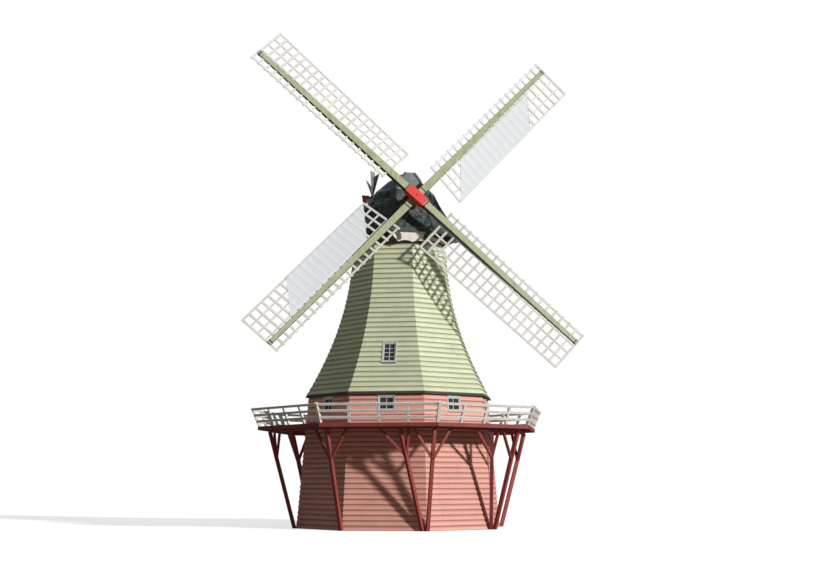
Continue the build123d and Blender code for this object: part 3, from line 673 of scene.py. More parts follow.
# A board's rounded front: shares of its height, and of its foot's thickness there.
BELLY = ((0.0, 0.72), (0.2, 1.0), (0.5, 0.8))
# How near a lap each of the six corners of a board's end is, from foot to head; the paint puts painted shade
# there.
LAP_SHADE_CORNERS = (0.8, 0.8, 0.0, 0.1, 1.0, 1.0)
# How far a board runs up behind the next.
BEHIND = 0.02
# Plain boards: the height, the thickness at the foot and the thickness at the head.
PLINTH = (0.24, 0.066, 0.060)
# From the base's highest board to the smock's skirt.
SKIRT_GAP = 0.01
DRIP_BOARD = (0.13, 0.05, 0.048)
# Joints: the share of half a row's length nearest the middle, the spread, and the steps by row and by face.
WALL_JOINTS = (0.15, 0.5, 0.37, 0.21)
DECK_JOINTS = (0.1, 0.6, 0.41, 0.13)
# How far a casing laps over its window frame, and over the ends of the boards.
CASING_LAP = 0.01
# Window bars: the depth, and how far the front stands proud of the wall.
FRAME = (0.15, 0.035)
CASING = (0.06, 0.068)
# The same with the width first.
HEAD_DRIP = (0.025, 0.09, 0.085)
SILL = (0.05, 0.12, 0.10)
MULLION = (0.035, 0.045, -0.012)
SASH_BAR = (0.032, 0.04, -0.014)
# From the frame's foot down to the middle of the sill.
SILL_DROP = 0.035


def board(timbers, face, reach, low, high, left, right, foot, head, kind=0):
    """One rounded board on a face. Its ends are mitred where they come to the face's corners."""
    rise = high - low
    belly = [(low + rise * up, foot * share) for up, share in BELLY]
    corners = []
    for end in (left, right):
        for z, out in ((low, 0.0), *belly, (high, head), (high, 0.0)):
            distance = reach(z) + out
            limit = distance * tan(HALF_TURN)
            corners.append(on_face(face, distance, max(-limit, min(limit, end)), z))
    timbers.add(corners, kind, LAP_SHADE_CORNERS * 2)


def boards_round(timbers, face, reach, low, high, cuts, opening, foot, head):
    """A course of boards between its joints, left out where the opening is."""
    edges = [-inf, *cuts, inf]
    half, sill, top = opening or (0.0, inf, inf)
    for left, right in zip(edges, edges[1:]):
        clear = opening is None or high <= sill or low >= top
        if clear or left >= half or right <= -half:
            board(timbers, face, reach, low, high, left, right, foot, head)
            continue
        if left < -half:
            board(timbers, face, reach, low, high, left, -half, foot, head)
        if right > half:
            board(timbers, face, reach, low, high, half, right, foot, head)
        inner = max(left, -half), min(right, half)
        if low < sill:
            board(timbers, face, reach, low, sill, *inner, foot, (foot + head) / 2)
        if high > top:
            board(timbers, face, reach, top, high, *inner, (foot + head) / 2, head)


def joint_place(row, face, nearest, spread, row_step, face_step):
    """Where the joint in a row lies, as a share of half the row's length."""
    share = nearest + spread * ((row * row_step + face * face_step) % 1.0)
    return share if row % 2 else -share


def clad_side(timbers, face, reach, low, high, opening):
    """Weatherboards up one side, with joints that step from course to course."""
    t = tower()
    count = round((high - low) / t.board)
    pitch = (high - low) / count
    for course in range(count):
        foot_z = low + pitch * course
        head_z = min(foot_z + pitch + BEHIND, high)
        joint = reach(foot_z) * tan(HALF_TURN) * joint_place(course, face, *WALL_JOINTS)
        boards_round(timbers, face, reach, foot_z, head_z, [joint], opening, t.board_foot, t.board_head)


def opening_of(height, size):
    """Half width, sill and head of the hole in the boards round a window."""
    margin = tower().casing - CASING_LAP
    half = size[1] / 2 + margin
    return size[0] / 2 + margin, height - half, height + half


def base_boards():
    """The base's weatherboards, with a plinth board at the ground."""
    t = tower()
    opening = opening_of(t.base_window_z, t.base_window)
    plinth, *thickness = PLINTH
    for face in range(8):
        timbers = Timbers(100 + face)
        board(timbers, face, base_reach, 0.0, plinth, -inf, inf, *thickness)
        clad_side(timbers, face, base_reach, plinth, t.base_height - t.lip_drop - SKIRT_GAP, opening)
        timbers.make(f"base_boards_{face + 1}", "tower", [material("base")])


def smock_boards():
    """The smock's weatherboards over its flare, with a dark drip board at the lip."""
    t = tower()
    opening = opening_of(t.smock_window_z, t.smock_window)
    lip_z = t.base_height - t.lip_drop
    drip, *thickness = DRIP_BOARD
    for face in range(8):
        timbers = Timbers(200 + face)
        board(timbers, face, smock_reach, lip_z, lip_z + drip, -inf, inf, *thickness, kind=1)
        hole = opening if face in SMOCK_WINDOWS else None
        clad_side(timbers, face, smock_reach, lip_z + drip, t.smock_top_z - BEHIND, hole)
        materials = [material("smock"), material("trim")]
        timbers.make(f"smock_boards_{face + 1}", "tower", materials)


def window(timbers, face, reach, height, size, cross_bars):
    """Casing, frame, sill and sash bars of one window, in its wall's slope."""
    bar, casing = tower().frame_bar, tower().casing
    low, high = (on_face(face, reach(z), 0, z) for z in (height - size[1] / 2, height + size[1] / 2))
    middle, up = (low + high) / 2, (high - low).normalized()
    side = (on_face(face, 1, 1, 0) - on_face(face, 1, 0, 0)).normalized()
    out = side.cross(up)
    wide, tall = size[0] / 2, size[1] / 2

    def strip(places, width, depth, proud):
        """A bar between two places of the window, its front standing proud of the wall."""
        start, end = (middle + side * x + up * y + out * (proud - depth / 2) for x, y in places)
        timbers.bar(start, end, width, depth, level=out)

    def upright(x, foot, head, *section):
        """A standing bar."""
        strip(((x, foot), (x, head)), *section)

    def level(y, half, *section):
        """A level bar, as long to the left as to the right."""
        strip(((-half, y), (half, y)), *section)

    for hand in (-1, 1):
        upright(hand * (wide - bar / 2), -tall, tall, bar, *FRAME)
        level(hand * (tall - bar / 2), wide - bar, bar, *FRAME)
        edge = wide + casing / 2 - CASING_LAP
        upright(hand * edge, -tall - 2 * CASING_LAP, tall + casing, casing, *CASING)
    level(tall + (casing - CASING_LAP) / 2, wide - CASING_LAP, casing, *CASING)
    level(tall + casing + CASING_LAP, wide + casing, *HEAD_DRIP)
    level(-tall - SILL_DROP, wide + casing + CASING_LAP, *SILL)
    upright(0, bar - tall, tall - bar, *MULLION)
    for i in range(1, cross_bars + 1):
        level((tall - bar) * (2 * i / (cross_bars + 1) - 1), wide - bar, *SASH_BAR)


def windows():
    """All windows: two panes by two in the base, two by four in the smock."""
    t = tower()
    timbers = Timbers(300)
    for face in range(8):
        window(timbers, face, base_reach, t.base_window_z, t.base_window, 1)
    for face in SMOCK_WINDOWS:
        window(timbers, face, smock_reach, t.smock_window_z, t.smock_window, 3)
    replaced = ["window_frames"]
    timbers.make("window_joinery", "tower", [material("window")], LATH_EDGE, replaced)


# The gallery

# Bolts: places along the fascia, places below the deck, and places above the middle of a strut's fork.
FASCIA_BOLTS = (-3.0, -1.5, 0.0, 1.5, 3.0)
FASCIA_BOLT_ROWS = (-0.05, -0.15)
FORK_BOLTS = (-0.09, 0.09)
# How thick a bolt's head is and how far its middle stands out, as shares of its radius.
FASCIA_HEAD = (0.8, 0.25)
FORK_HEAD = (1.6, 0.5)
# How much larger the bolts of a fork are, and a hexagon's side as a share of its inner radius.
FORK_BOLT = 1.6
HEX_SIDE = 1.155
# From the wall to the first plank, and half the gaps between planks, at their joints and at the mitres.
WALL_GAP = 0.012
PLANK_GAP = 0.003
JOINT_GAP = 0.002
MITRE_GAP = 0.004
# Shares of a post's width: the depth of a side post, the rails' seat out from its middle, and the rails' end.
POST_DEPTH = 0.72
RAIL_SEAT = 0.3
RAIL_END = 0.35
# The thickness of a rail.
RAIL_THICKNESS = 0.045
# From the deck to a post's foot, and half the gap between two rails end to end.
POST_LIFT = 0.004
RAIL_GAP = 0.001
# A post's cap: its start and end as shares of the post's length, and how much wider it is.
POST_CAP = (-0.001, 0.022)
POST_CAP_MARGIN = 0.03


def plank_corners(face, inner, outer, left, right):
    """The eight corners of a plank. Its ends are mitred where they come to the side's corners."""
    g = gallery()
    corners = []
    for end in (left, right):
        for out, z in ((inner, -g.deck_thickness), (outer, -g.deck_thickness), (outer, 0.0), (inner, 0.0)):
            limit = out * tan(HALF_TURN) - MITRE_GAP
            corners.append(on_face(face, out, max(-limit, min(limit, end)), g.deck_z + z))
    return corners


def deck_planks():
    """The gallery's planks, laid along each side."""
    g = gallery()
    wall = base_reach(g.deck_z) + WALL_GAP
    edge = apothem(g.deck_radius) - g.fascia - JOINT_GAP
    count = round((edge - wall) / g.plank)
    pitch = (edge - wall) / count
    timbers = Timbers(400)
    for face in range(8):
        for row in range(count):
            inner, outer = wall + pitch * row + PLANK_GAP, wall + pitch * (row + 1) - PLANK_GAP
            joint = inner * tan(HALF_TURN) * joint_place(row, face, *DECK_JOINTS)
            for left, right in ((-inf, joint - JOINT_GAP), (joint + JOINT_GAP, inf)):
                timbers.add(plank_corners(face, inner, outer, left, right))
    timbers.make("deck_planks", "tower", [material("deck")], LATH_EDGE, ["gallery_deck"])


def gallery_timbers():
    """Fascia, bearers, joists and struts with worn edges."""
    for seed, node in enumerate(("gallery_fascia", "gallery_bearers", "gallery_joists")):
        softened(node, "tower", [material("gallery")], TIMBER_EDGE, 500 + seed)
    for seed, node in enumerate(("gallery_struts", "gallery_side_struts")):
        softened(node, "tower", [material("gallery")], STRUT_EDGE, 510 + seed)


def bolt(timbers, centre, out, radius, height):
    """A hexagonal head in three crossed pieces."""
    out = out.normalized()
    side = out.orthogonal().normalized()
    for turn in (0, 60, 120):
        across = Matrix.Rotation(radians(turn), 3, out) @ side
        timbers.bar(centre - across * radius, centre + across * radius, HEX_SIDE * radius, height, level=out)


def gallery_bolts():
    """Bolt heads on the fascia and at the struts' forks."""
    g = gallery()
    timbers = Timbers(520)
    edge = apothem(g.deck_radius)
    lean = (g.bearer - g.strut_foot) / g.bearer_under
    (fascia_thick, fascia_out), (fork_thick, fork_out) = FASCIA_HEAD, FORK_HEAD
    for face in range(8):
        turn = Matrix.Rotation(2 * HALF_TURN * face, 3, "Z")
        for along in FASCIA_BOLTS:
            for z in FASCIA_BOLT_ROWS:
                place = on_face(face, edge + g.bolt * fascia_out, along, g.deck_z + z)
                bolt(timbers, place, on_face(face, 1, 0, 0), g.bolt, fascia_thick * g.bolt)
        for up in FORK_BOLTS:
            z = g.fork_share * g.bearer_under + up
            place = turn @ Vector((g.strut_foot + lean * z + g.strut / 2 + g.bolt * fork_out, 0, z))
            bolt(timbers, place, turn @ Vector((1, 0, -lean)), FORK_BOLT * g.bolt, fork_thick * g.bolt)
    timbers.make("gallery_bolts", "tower", [material("iron")], 0)


def side_railing(timbers, face):
    """Leaning posts of one side, with the rails on their outer side."""
    g = gallery()
    lean = tan(radians(g.rail_lean))
    foot = apothem(g.deck_radius) - g.rail_inset
    bay = 2 * foot * tan(HALF_TURN) / g.bays
    outward = on_face(face, 1, 0, 0)
    for i in range(1, g.bays):
        along = bay * (i - g.bays / 2)
        start = on_face(face, foot, along, g.deck_z + POST_LIFT)
        end = on_face(face, foot + g.rail_height * lean, along, g.deck_z + g.rail_height)
        timbers.bar(start, end, g.post, g.post * POST_DEPTH, level=outward)
    for row in range(1, g.rows + 1):
        up = g.rail_height * row / g.rows - g.rail / 2 * cos(radians(g.rail_lean))
        out = foot + up * lean + g.post * RAIL_SEAT
        slope = outward - Vector((0, 0, lean))
        reach = out * tan(HALF_TURN) - g.post * RAIL_END
        for left, right in ((-reach, bay / 2 - RAIL_GAP), (bay / 2 + RAIL_GAP, reach)):
            ends = [on_face(face, out, side, g.deck_z + up) for side in (left, right)]
            timbers.bar(*ends, g.rail, RAIL_THICKNESS, level=slope)


def railing():
    """The railing of each pair of opposite sides, and capped corner posts where the rails meet."""
    g = gallery()
    for pair in range(4):
        timbers = Timbers(600 + pair)
        for face in (pair, pair + 4):
            side_railing(timbers, face)
        replaced = [f"railings_{pair + 1}"]
        timbers.make(f"railing_{pair + 1}", "tower", [material("rail")], TIMBER_EDGE, replaced)
    corners = Timbers(610)
    radius = (apothem(g.deck_radius) - g.rail_inset) / cos(HALF_TURN)
    step = g.rail_height * tan(radians(g.rail_lean)) / cos(HALF_TURN)
    for corner in range(8):
        turn = Matrix.Rotation(2 * HALF_TURN * corner, 3, "Z")
        start = turn @ Vector((radius, 0, g.deck_z + POST_LIFT))
        end = turn @ Vector((radius + step, 0, g.deck_z + g.rail_height))
        outward = turn @ Vector((1, 0, 0))
        corners.bar(start, end, g.post, g.post, level=outward)
        low, high = (end + (end - start) * share for share in POST_CAP)
        corners.bar(low, high, g.post + POST_CAP_MARGIN, g.post + POST_CAP_MARGIN, level=outward)
    replaced = ["railing_corner_posts"]
    corners.make("railing_corners", "tower", [material("rail")], TIMBER_EDGE, replaced)


# The cap

# Plans of the roof: a share of its height, then the share of the half width and of the reach at four corners.
CAP_PLANS = (
    (0.0, ((0.375, -1.0), (1.0, -0.316), (0.9375, 0.465), (0.4375, 1.0))),
    (0.25, ((0.3125, -0.884), (0.8125, -0.316), (0.719, 0.419), (0.3125, 0.86))),
    (0.516, ((0.266, -0.825), (0.619, -0.351), (0.484, 0.302), (0.1875, 0.674))),
    (0.703, ((0.234, -0.807), (0.506, -0.386), (0.328, 0.163), (0.125, 0.442))),
    (0.875, ((0.172, -0.789), (0.306, -0.439), (0.156, 0.023), (0.081, 0.233))),
    (1.0, ((0.078, -0.772), (0.094, -0.561), (0.088, -0.316), (0.069, -0.14))),
)
# The roof's sides in each of its four pieces, counted from the front right corner.
CAP_SIDES = {"right": (0, 1, 2), "tail": (3,), "left": (4, 5, 6), "front": (7,)}
# The corners of the crown.
CROWN_CORNERS = (0, 7, 4, 3)
# A place inside the roof, to tell which way is out.
CAP_MIDDLE = Vector((0, -0.9, 16.2))
# How far the shingles stay away from the windshaft.
SHAFT_ROOM = 0.14
# Shingles: how far a course laps the next, as a share of its height, and the thickness at its head.
COURSE_LAP = 0.12
SHINGLE_HEAD = 0.006
# The gap between two shingles, and how much their feet vary, as a share of a course.
SHINGLE_GAP = 0.004
SHINGLE_DROP = 0.06
# The hood's sheets against the shingles: how much higher and wider they are.
SHEET_RISE = 2.2
SHEET_SPAN = 2.4
# Thickness at the foot, for shingles and for sheets.
THICKNESS = (0.03, 0.02)
# The gap isn't spread over less than this length of a course.
SHORT_COURSE = 0.2
# Boards over the hips: the width and the thickness, then how far they face back and up, how far they stand
# out and how far each runs into the next.
HIP = (0.15, 0.045)
HIP_FACING = (0.9, 1.2)
HIP_STAND = 0.012
HIP_LAP = 0.02
# Boards under the eave: the thickness, the height, and how far down their middle is.
EAVE = (0.05, 0.17)
EAVE_DROP = 0.055
# The crown's board, from under its edge to its top.
CROWN = (-0.01, 0.035)


def cap_corners(plan):
    """The eight corners of one plan, front right to tail right and back on the left."""
    c = cap()
    share, half = plan
    z = c.eave_z + share * c.height
    right = [Vector((x * c.half, y * (c.front if y < 0 else c.tail), z)) for x, y in half]
    return right + [Vector((-p.x, p.y, p.z)) for p in reversed(right)]


def roof_point(low, high, side, u, t):
    """A point of one flat-folded side of the roof between two plans: u along it, t up it."""
    i, j = side, (side + 1) % 8
    # The left sides fold as the right ones do, mirrored.
    if side in CAP_SIDES["left"]:
        i, j, u = j, i, 1 - u
    if u >= t:
        return low[i] + (low[j] - low[i]) * u + (high[j] - low[j]) * t
    return low[i] + (high[j] - high[i]) * u + (high[i] - low[i]) * t


def near_shaft(point):
    """True where the windshaft comes through the roof."""
    s = sails()
    axis = Vector((0, -cos(radians(s.shaft_raise)), sin(radians(s.shaft_raise))))
    offset = point - Vector((0, s.hub_y, s.hub_z))
    return (offset - axis * offset.dot(axis)).length < s.shaft_radius + SHAFT_ROOM


def shingle(timbers, corners, outward, kind, thick):
    """One shingle from the four corners of its place: its foot stands out over the one below."""
    foot, head = outward * thick, outward * SHINGLE_HEAD
    left = [corners[0], corners[0] + foot, corners[3] + head, corners[3]]
    right = [corners[1], corners[1] + foot, corners[2] + head, corners[2]]
    timbers.add(left + right, kind)


def shingle_band(timbers, low, high, side, smooth):
    """Courses of shingles between two plans on one side of the roof, or of the hood's sheets."""
    c = cap()
    rise, span = (SHEET_RISE, SHEET_SPAN) if smooth else (1, 1)
    slope = (roof_point(low, high, side, 0.5, 0) - roof_point(low, high, side, 0.5, 1)).length
    courses = max(1, round(slope / (c.course * rise)))
    for course in range(courses):
        t0, t1 = course / courses, min((course + 1 + COURSE_LAP) / courses, 1.0)
        start, end = (roof_point(low, high, side, u, t0) for u in (0, 1))
        length_here = (end - start).length
        count = max(1, round(length_here / (c.shingle * span)))
        shift = 0.0 if smooth else 0.5 * (course % 2)
        places = sorted({0.0, 1.0, *((i + shift) / count for i in range(count))})
        for u0, u1 in zip(places, places[1:]):
            gap = 0.0 if smooth else SHINGLE_GAP / max(length_here, SHORT_COURSE)
            drop = 0.0 if smooth else timbers.chance.uniform(-SHINGLE_DROP, SHINGLE_DROP) / courses
            foot = max(t0 + drop, 0.0)
            ends = ((u0 + gap, foot), (u1 - gap, foot), (u1 - gap, t1), (u0 + gap, t1))
            corners = [roof_point(low, high, side, u, t) for u, t in ends]
            centre = sum(corners, Vector()) / 4
            if near_shaft(centre):
                continue
            outward = (corners[1] - corners[0]).cross(corners[3] - corners[0]).normalized()
            if outward.dot(centre - CAP_MIDDLE) < 0:
                outward = -outward
            shingle(timbers, corners, outward, int(smooth), THICKNESS[smooth])


def cap_roof():
    """Shingles on the lower roof, smooth sheets on the hood, hip boards and eave boards."""
    materials = [material("shingles"), material("hood"), material("trim")]
    for node in ("cap_front", "cap_side_left", "cap_side_right"):
        dress(node, "inside")
    plans = [cap_corners(plan) for plan in CAP_PLANS]
    smooth = [share >= cap().hood_share for share, half in CAP_PLANS]
    for hand, sides in CAP_SIDES.items():
        timbers = Timbers(700 + sides[0])
        for side in sides:
            for low, high, sheets in zip(plans, plans[1:], smooth):
                shingle_band(timbers, low, high, side, sheets)
        timbers.make(f"cap_roof_{hand}", "cap", materials, SHINGLE_EDGE)
    trims = Timbers(710)
    back, rise = HIP_FACING
    for corner in range(8):
        for low, high, sheets in zip(plans, plans[1:], smooth):
            outward = Vector((low[corner].x, low[corner].y + back, rise))
            start, end = (place[corner] + outward.normalized() * HIP_STAND for place in (low, high))
            end += (end - start).normalized() * HIP_LAP
            trims.bar(start, end, *HIP, level=outward, kind=1 if sheets else 2)
        low, ahead = (plans[0][place % 8] - Vector((0, 0, EAVE_DROP)) for place in (corner, corner + 1))
        trims.bar(low, ahead, *EAVE, kind=2)
    crown = [plans[-1][place] for place in CROWN_CORNERS]
    trims.add([place + Vector((0, 0, up)) for up in CROWN for place in crown], 1)
    trims.make("cap_hips", "cap", materials, TIMBER_EDGE)


def dress(node, name):
    """Gives a CAD piece that stays in sight its material."""
    mesh = frame["nodes"][node].data
    mesh.materials.clear()
    mesh.materials.append(material(name))


def cap_timbers():
    """Frame, rings, bearings, brackets and the pale board, with worn edges."""
    for seed, node in enumerate(("cap_frame", "cap_ring", "weather_beam", "neck_bearing", "tail_bearing")):
        softened(node, "cap", [material("timber")], TIMBER_EDGE, 800 + seed)
    softened("curb", "tower", [material("timber")], TIMBER_EDGE, 806)
    softened("cap_front_board", "cap", [material("cream")], LATH_EDGE, 807)
    softened("cap_brackets", "cap", [material("bracket")], TIMBER_EDGE, 808)


# The sails

# The stocks: where their taper starts, then the width and the depth there and at the tip.
STOCK_ROOT = 0.7
STOCK_WIDTH = (0.4, 0.25)
STOCK_DEPTH = (0.32, 0.15)
# Iron straps round them: the places along an arm, half the length and the thickness.
STRAP_PLACES = (0.68, 11.45)
STRAP_HALF = 0.035
STRAP = 0.008
# A stock's side faces get the dark trim as painted shade: the cosine from which a face counts as one.
STOCK_SHADE_SIDE = 0.8
# Cells across the wide side of a lattice.
WIDE_CELLS = 3
# The cloth's ends beside the stock and its outer end at the hem, as shares of the sail's radius.
CLOTH_ENDS = (0.32, 0.84)
CLOTH_HEM = 0.71
# From the near lath's middle to the cloth's edge, and the gap between cloth and bars.
CLOTH_TUCK = 0.02
CLOTH_SEAT = 0.003
# The cloth lies flat at its edges, and dips fully from this share of its width on.
DIP_FROM = 1 / 6
# Columns and rows of the cloth's mesh.
CLOTH_MESH = (260, 18)
# The bolt rope: pieces along the cloth and across it, its width, how far its middle lies above the cloth's
# and how far each piece runs into the next.
ROPE_PIECES = (40, 8)
ROPE = 0.018
ROPE_LIFT = 0.004
ROPE_LAP = 0.004


def hub_matrix():
    """The windshaft's frame: Z along the shaft to the front, X level."""
    s = sails()
    rise = radians(s.shaft_raise)
    rows = (1, 0, 0, 0), (0, sin(rise), -cos(rise), s.hub_y), (0, cos(rise), sin(rise), s.hub_z), (0, 0, 0, 1)
    return Matrix(rows)


def arm_matrix(quarter):
    """The frame of one arm: X out along it, Y to the leading edge, Z forward."""
    s = sails()
    offset = s.offset if quarter % 2 else -s.offset
    turn = Matrix.Rotation(radians(s.rest_turn + 90 * quarter), 4, "Z")
    return hub_matrix() @ Matrix.Translation((0, 0, offset)) @ turn


def weather(x):
    """Slope of the sail at a distance from the hub."""
    s = sails()
    heel, tip = tan(radians(s.weather_heel)), tan(radians(s.weather_tip))
    return heel + (tip - heel) * (x - s.heel) / (s.tip - s.heel)


def sail_point(x, y):
    """A point of the twisted sail in its arm's frame."""
    return Vector((x, y, y * weather(x)))


def lattice(quarter):
    """Bars, uplongs and hemlaths of one sail."""
    s = sails()
    timbers = Timbers(900 + quarter)
    bay = (s.tip - s.heel) / s.bays
    for i in range(s.bays + 1):
        x = s.heel + bay * i
        trailing = sail_point(x, -s.wide - s.hem_width / 2)
        leading = sail_point(x, s.narrow + s.hem_width / 2 + s.bar_end)
        timbers.bar(trailing, leading, s.bar_width, s.bar_depth)
    cell = (s.wide - s.near) / WIDE_CELLS
    laths = [(-s.near - cell * i, s.lath_width) for i in range(WIDE_CELLS)]
    laths += [(-s.wide, s.hem_width), (s.narrow, s.hem_width)]
    for y, width in laths:
        start, end = sail_point(s.heel - s.bar_width / 2, y), sail_point(s.tip + s.bar_width / 2, y)
        slope = weather((s.heel + s.tip) / 2)
        timbers.bar(start, end, width, s.lath_depth, level=(0, -slope, 1))
    timbers.moved(arm_matrix(quarter))
    replaced, finish = [f"sail_{quarter + 1}"], [material("lattice")]
    timbers.make(f"lattice_{quarter + 1}", "sails", finish, LATH_EDGE, replaced)


def stock_size(x):
    """Width and depth of a stock at a distance from the hub."""
    share = max(0.0, x - STOCK_ROOT) / (sails().radius - STOCK_ROOT)
    return [root + (tip - root) * share for root, tip in (STOCK_WIDTH, STOCK_DEPTH)]


def stock_straps(quarter, seed):
    """Iron straps round one arm of a stock, near the hub and near the tip."""
    timbers = Timbers(seed)
    step = Vector((STRAP_HALF, 0, 0))
    for x in STRAP_PLACES:
        wide, deep = (size + STRAP for size in stock_size(x))
        for along, across, width in ((0, 1, deep), (1, 0, wide)):
            for hand in (-1, 1):
                middle = Vector((x, hand * wide / 2 * across, hand * deep / 2 * along))
                timbers.bar(middle - step, middle + step, width, STRAP, level=(0, across, along))
    timbers.moved(arm_matrix(quarter))
    timbers.make(f"stock_straps_{quarter + 1}", "sails", [material("iron")], STRAP_EDGE)


def stock_finish(node, quarters, seed):
    """A stock with chamfered edges, painted shade on its sides in dark trim, and iron straps."""
    side = arm_matrix(quarters[0]).to_3x3() @ Vector((0, 1, 0))

    def kind_of(face):
        """Painted shade in dark trim on the two sides, the stock's paint on all else."""
        return 1 if abs(face.normal.dot(side)) > STOCK_SHADE_SIDE else 0

    # The trim on the stock's sides is painted shade.
    finishes = [material("stock"), material("trim")]
    softened(node, "sails", finishes, STOCK_EDGE, seed, kind_of)
    for quarter in quarters:
        stock_straps(quarter, seed + 10 + quarter)


def cloth_place(t, v):
    """A place of the cloth on its sail: t along it, v from the stock to the hem."""
    s = sails()
    inner, outer = CLOTH_ENDS
    near = s.radius * (inner + (outer - inner) * t)
    hem = s.heel + (s.radius * CLOTH_HEM - s.heel) * t
    y_near, y_hem = CLOTH_TUCK - s.near, -s.wide - s.hem_width / 2
    return near + (hem - near) * v, y_near + (y_hem - y_near) * v


def cloth_point(t, v, lift):
    """A point of the cloth: it lies on the bars and dips between them."""
    s = sails()
    x, y = cloth_place(t, v)
    bay = (s.tip - s.heel) / s.bays
    dip = s.sag * sin(pi * (x - s.heel) / bay) ** 2 * min(1.0, v / DIP_FROM, (1 - v) / DIP_FROM)
    return sail_point(x, y) + Vector((0, 0, lift - dip))


def cloth_mesh(quarter, matrix, rest):
    """The canvas: two layers of quads, closed round their border."""
    s = sails()
    columns, rows = CLOTH_MESH
    verts, faces, places = [], [], []
    for lift in (rest, rest + s.cloth):
        for i in range(columns + 1):
            for j in range(rows + 1):
                verts.append(tuple(matrix @ cloth_point(i / columns, j / rows, lift)))
                x, y = cloth_place(i / columns, j / rows)
                places += [x - s.heel, y, lift]
    layer = (columns + 1) * (rows + 1)
    for i in range(columns):
        for j in range(rows):
            a = i * (rows + 1) + j
            quad = (a, a + 1, a + rows + 2, a + rows + 1)
            faces += [quad[::-1], tuple(k + layer for k in quad)]
    border = [i * (rows + 1) for i in range(columns + 1)]
    border += [columns * (rows + 1) + j for j in range(1, rows + 1)]
    border += [i * (rows + 1) + rows for i in range(columns - 1, -1, -1)] + list(range(rows - 1, 0, -1))
    faces += [(a, b, b + layer, a + layer) for a, b in zip(border, border[1:] + border[:1])]
    mesh = bpy.data.meshes.new(f"cloth_{quarter + 1}")
    mesh.from_pydata(verts, [], faces)
    mesh.attributes.new("grain", "FLOAT_VECTOR", "POINT").data.foreach_set("vector", places)
    mesh.polygons.foreach_set("use_smooth", [True] * len(mesh.polygons))
    return mesh


def bolt_rope(quarter, matrix, lift):
    """The rope sewn round a cloth."""
    rope = Timbers(950 + quarter)
    columns, rows = ROPE_PIECES
    edge = [(i / columns, 0.0) for i in range(columns + 1)] + [(1.0, j / rows) for j in range(1, rows + 1)]
    edge += [(i / columns, 1.0) for i in range(columns - 1, -1, -1)]
    edge += [(0.0, j / rows) for j in range(rows - 1, 0, -1)]
    points = [matrix @ cloth_point(t, v, lift + ROPE_LIFT) for t, v in edge]
    level = matrix.to_3x3() @ Vector((0, 0, 1))
    for a, b in zip(points, points[1:] + points[:1]):
        rope.bar(a, b + (b - a).normalized() * ROPE_LAP, ROPE, ROPE, level=level)
    finish = [material("lattice")]
    return rope.make(f"cloth_rope_{quarter + 1}", "sails", finish, LATH_EDGE)


def sail_cloth(quarter):
    """A canvas sheet over the wide side of a sail, with a bolt rope round its edge."""
    s = sails()
    rest = s.bar_depth / 2 * sqrt(1 + weather(s.heel) ** 2) + CLOTH_SEAT
    matrix = arm_matrix(quarter)
    mesh = cloth_mesh(quarter, matrix, rest)
    replaced = [f"sail_cloth_{quarter + 1}"]
    cloth = placed(mesh, f"cloth_{quarter + 1}", "sails", [material("canvas")], 0, replaced)
    hem = bolt_rope(quarter, matrix, rest + s.cloth / 2)


def sail_set():
    """Shaft, canister, stocks, lattices and cloths."""
    softened("windshaft", "sails", [material("iron")], 0, 1000)
    softened("canister", "sails", [material("canister")], CANISTER_EDGE, 1001)
    stock_finish("inner_stock", (0, 2), 1010)
    stock_finish("outer_stock", (1, 3), 1030)
    for quarter in range(4):
        lattice(quarter)
    for quarter in (0, 2):
        sail_cloth(quarter)


# The fantail

# The radius of the fan's iron hub, and the paint of its blades, counted round it.
FAN_HUB = 0.2
BLADE_PAINTS = (0, 1, 0, 2, 0, 1, 0, 2)


def fantail():
    """Fan blades in three greys on an iron hub, between red posts."""
    lowest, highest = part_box("fan_wheel")
    centre = (lowest + highest) / 2

    def kind_of(face):
        """The paint of the blade that a face belongs to, or iron at the hub."""
        away = (face.calc_center_median() - centre).yz
        if away.length < FAN_HUB:
            return 3
        turn = Vector((0, 1)).angle_signed(away, 0.0) % (2 * pi)
        return BLADE_PAINTS[round(turn / (2 * pi) * len(BLADE_PAINTS)) % len(BLADE_PAINTS)]

    kinds = [material("fan light"), material("fan dark"), material("fan black"), material("iron")]
    softened("fan_wheel", "fan", kinds, LATH_EDGE, 1100, kind_of)
    softened("fan_shaft", "fan", [material("iron")], 0, 1101)
    softened("fan_posts", "cap", [material("fan post")], POST_EDGE, 1102)


def inner_pieces():
    """Materials of the CAD pieces that stay: walls behind the boards, floors and panes."""
    for i in range(1, 5):
        dress(f"base_walls_{i}", "inside")
        dress(f"smock_sides_{i}", "inside")
    for node in ("gallery_floor", "smock_floor"):
        dress(node, "floor")
    dress("window_panes", "glass")


# The stage

# The floor: half its width, its tone and how much that varies, the light it gives off to the eye, and its
# colour to everything else.
FLOOR_HALF = 260.0
FLOOR_TONE = 0.82
FLOOR_FLECK = 0.04
FLOOR_GLOW = 0.49
FLOOR_BOUNCE = (0.22, 0.22, 0.2, 1)
# Colours of the sun, the back light and the sky.
SUN_TINT = (1.0, 0.97, 0.92)
FILL_TINT = (0.93, 0.96, 1.0)
SKY_TINT = (1.0, 0.97, 0.95, 1)
WHITE = (1, 1, 1, 1)
# How wide the two lights look, in degrees.
LIGHT_SPREAD = 4


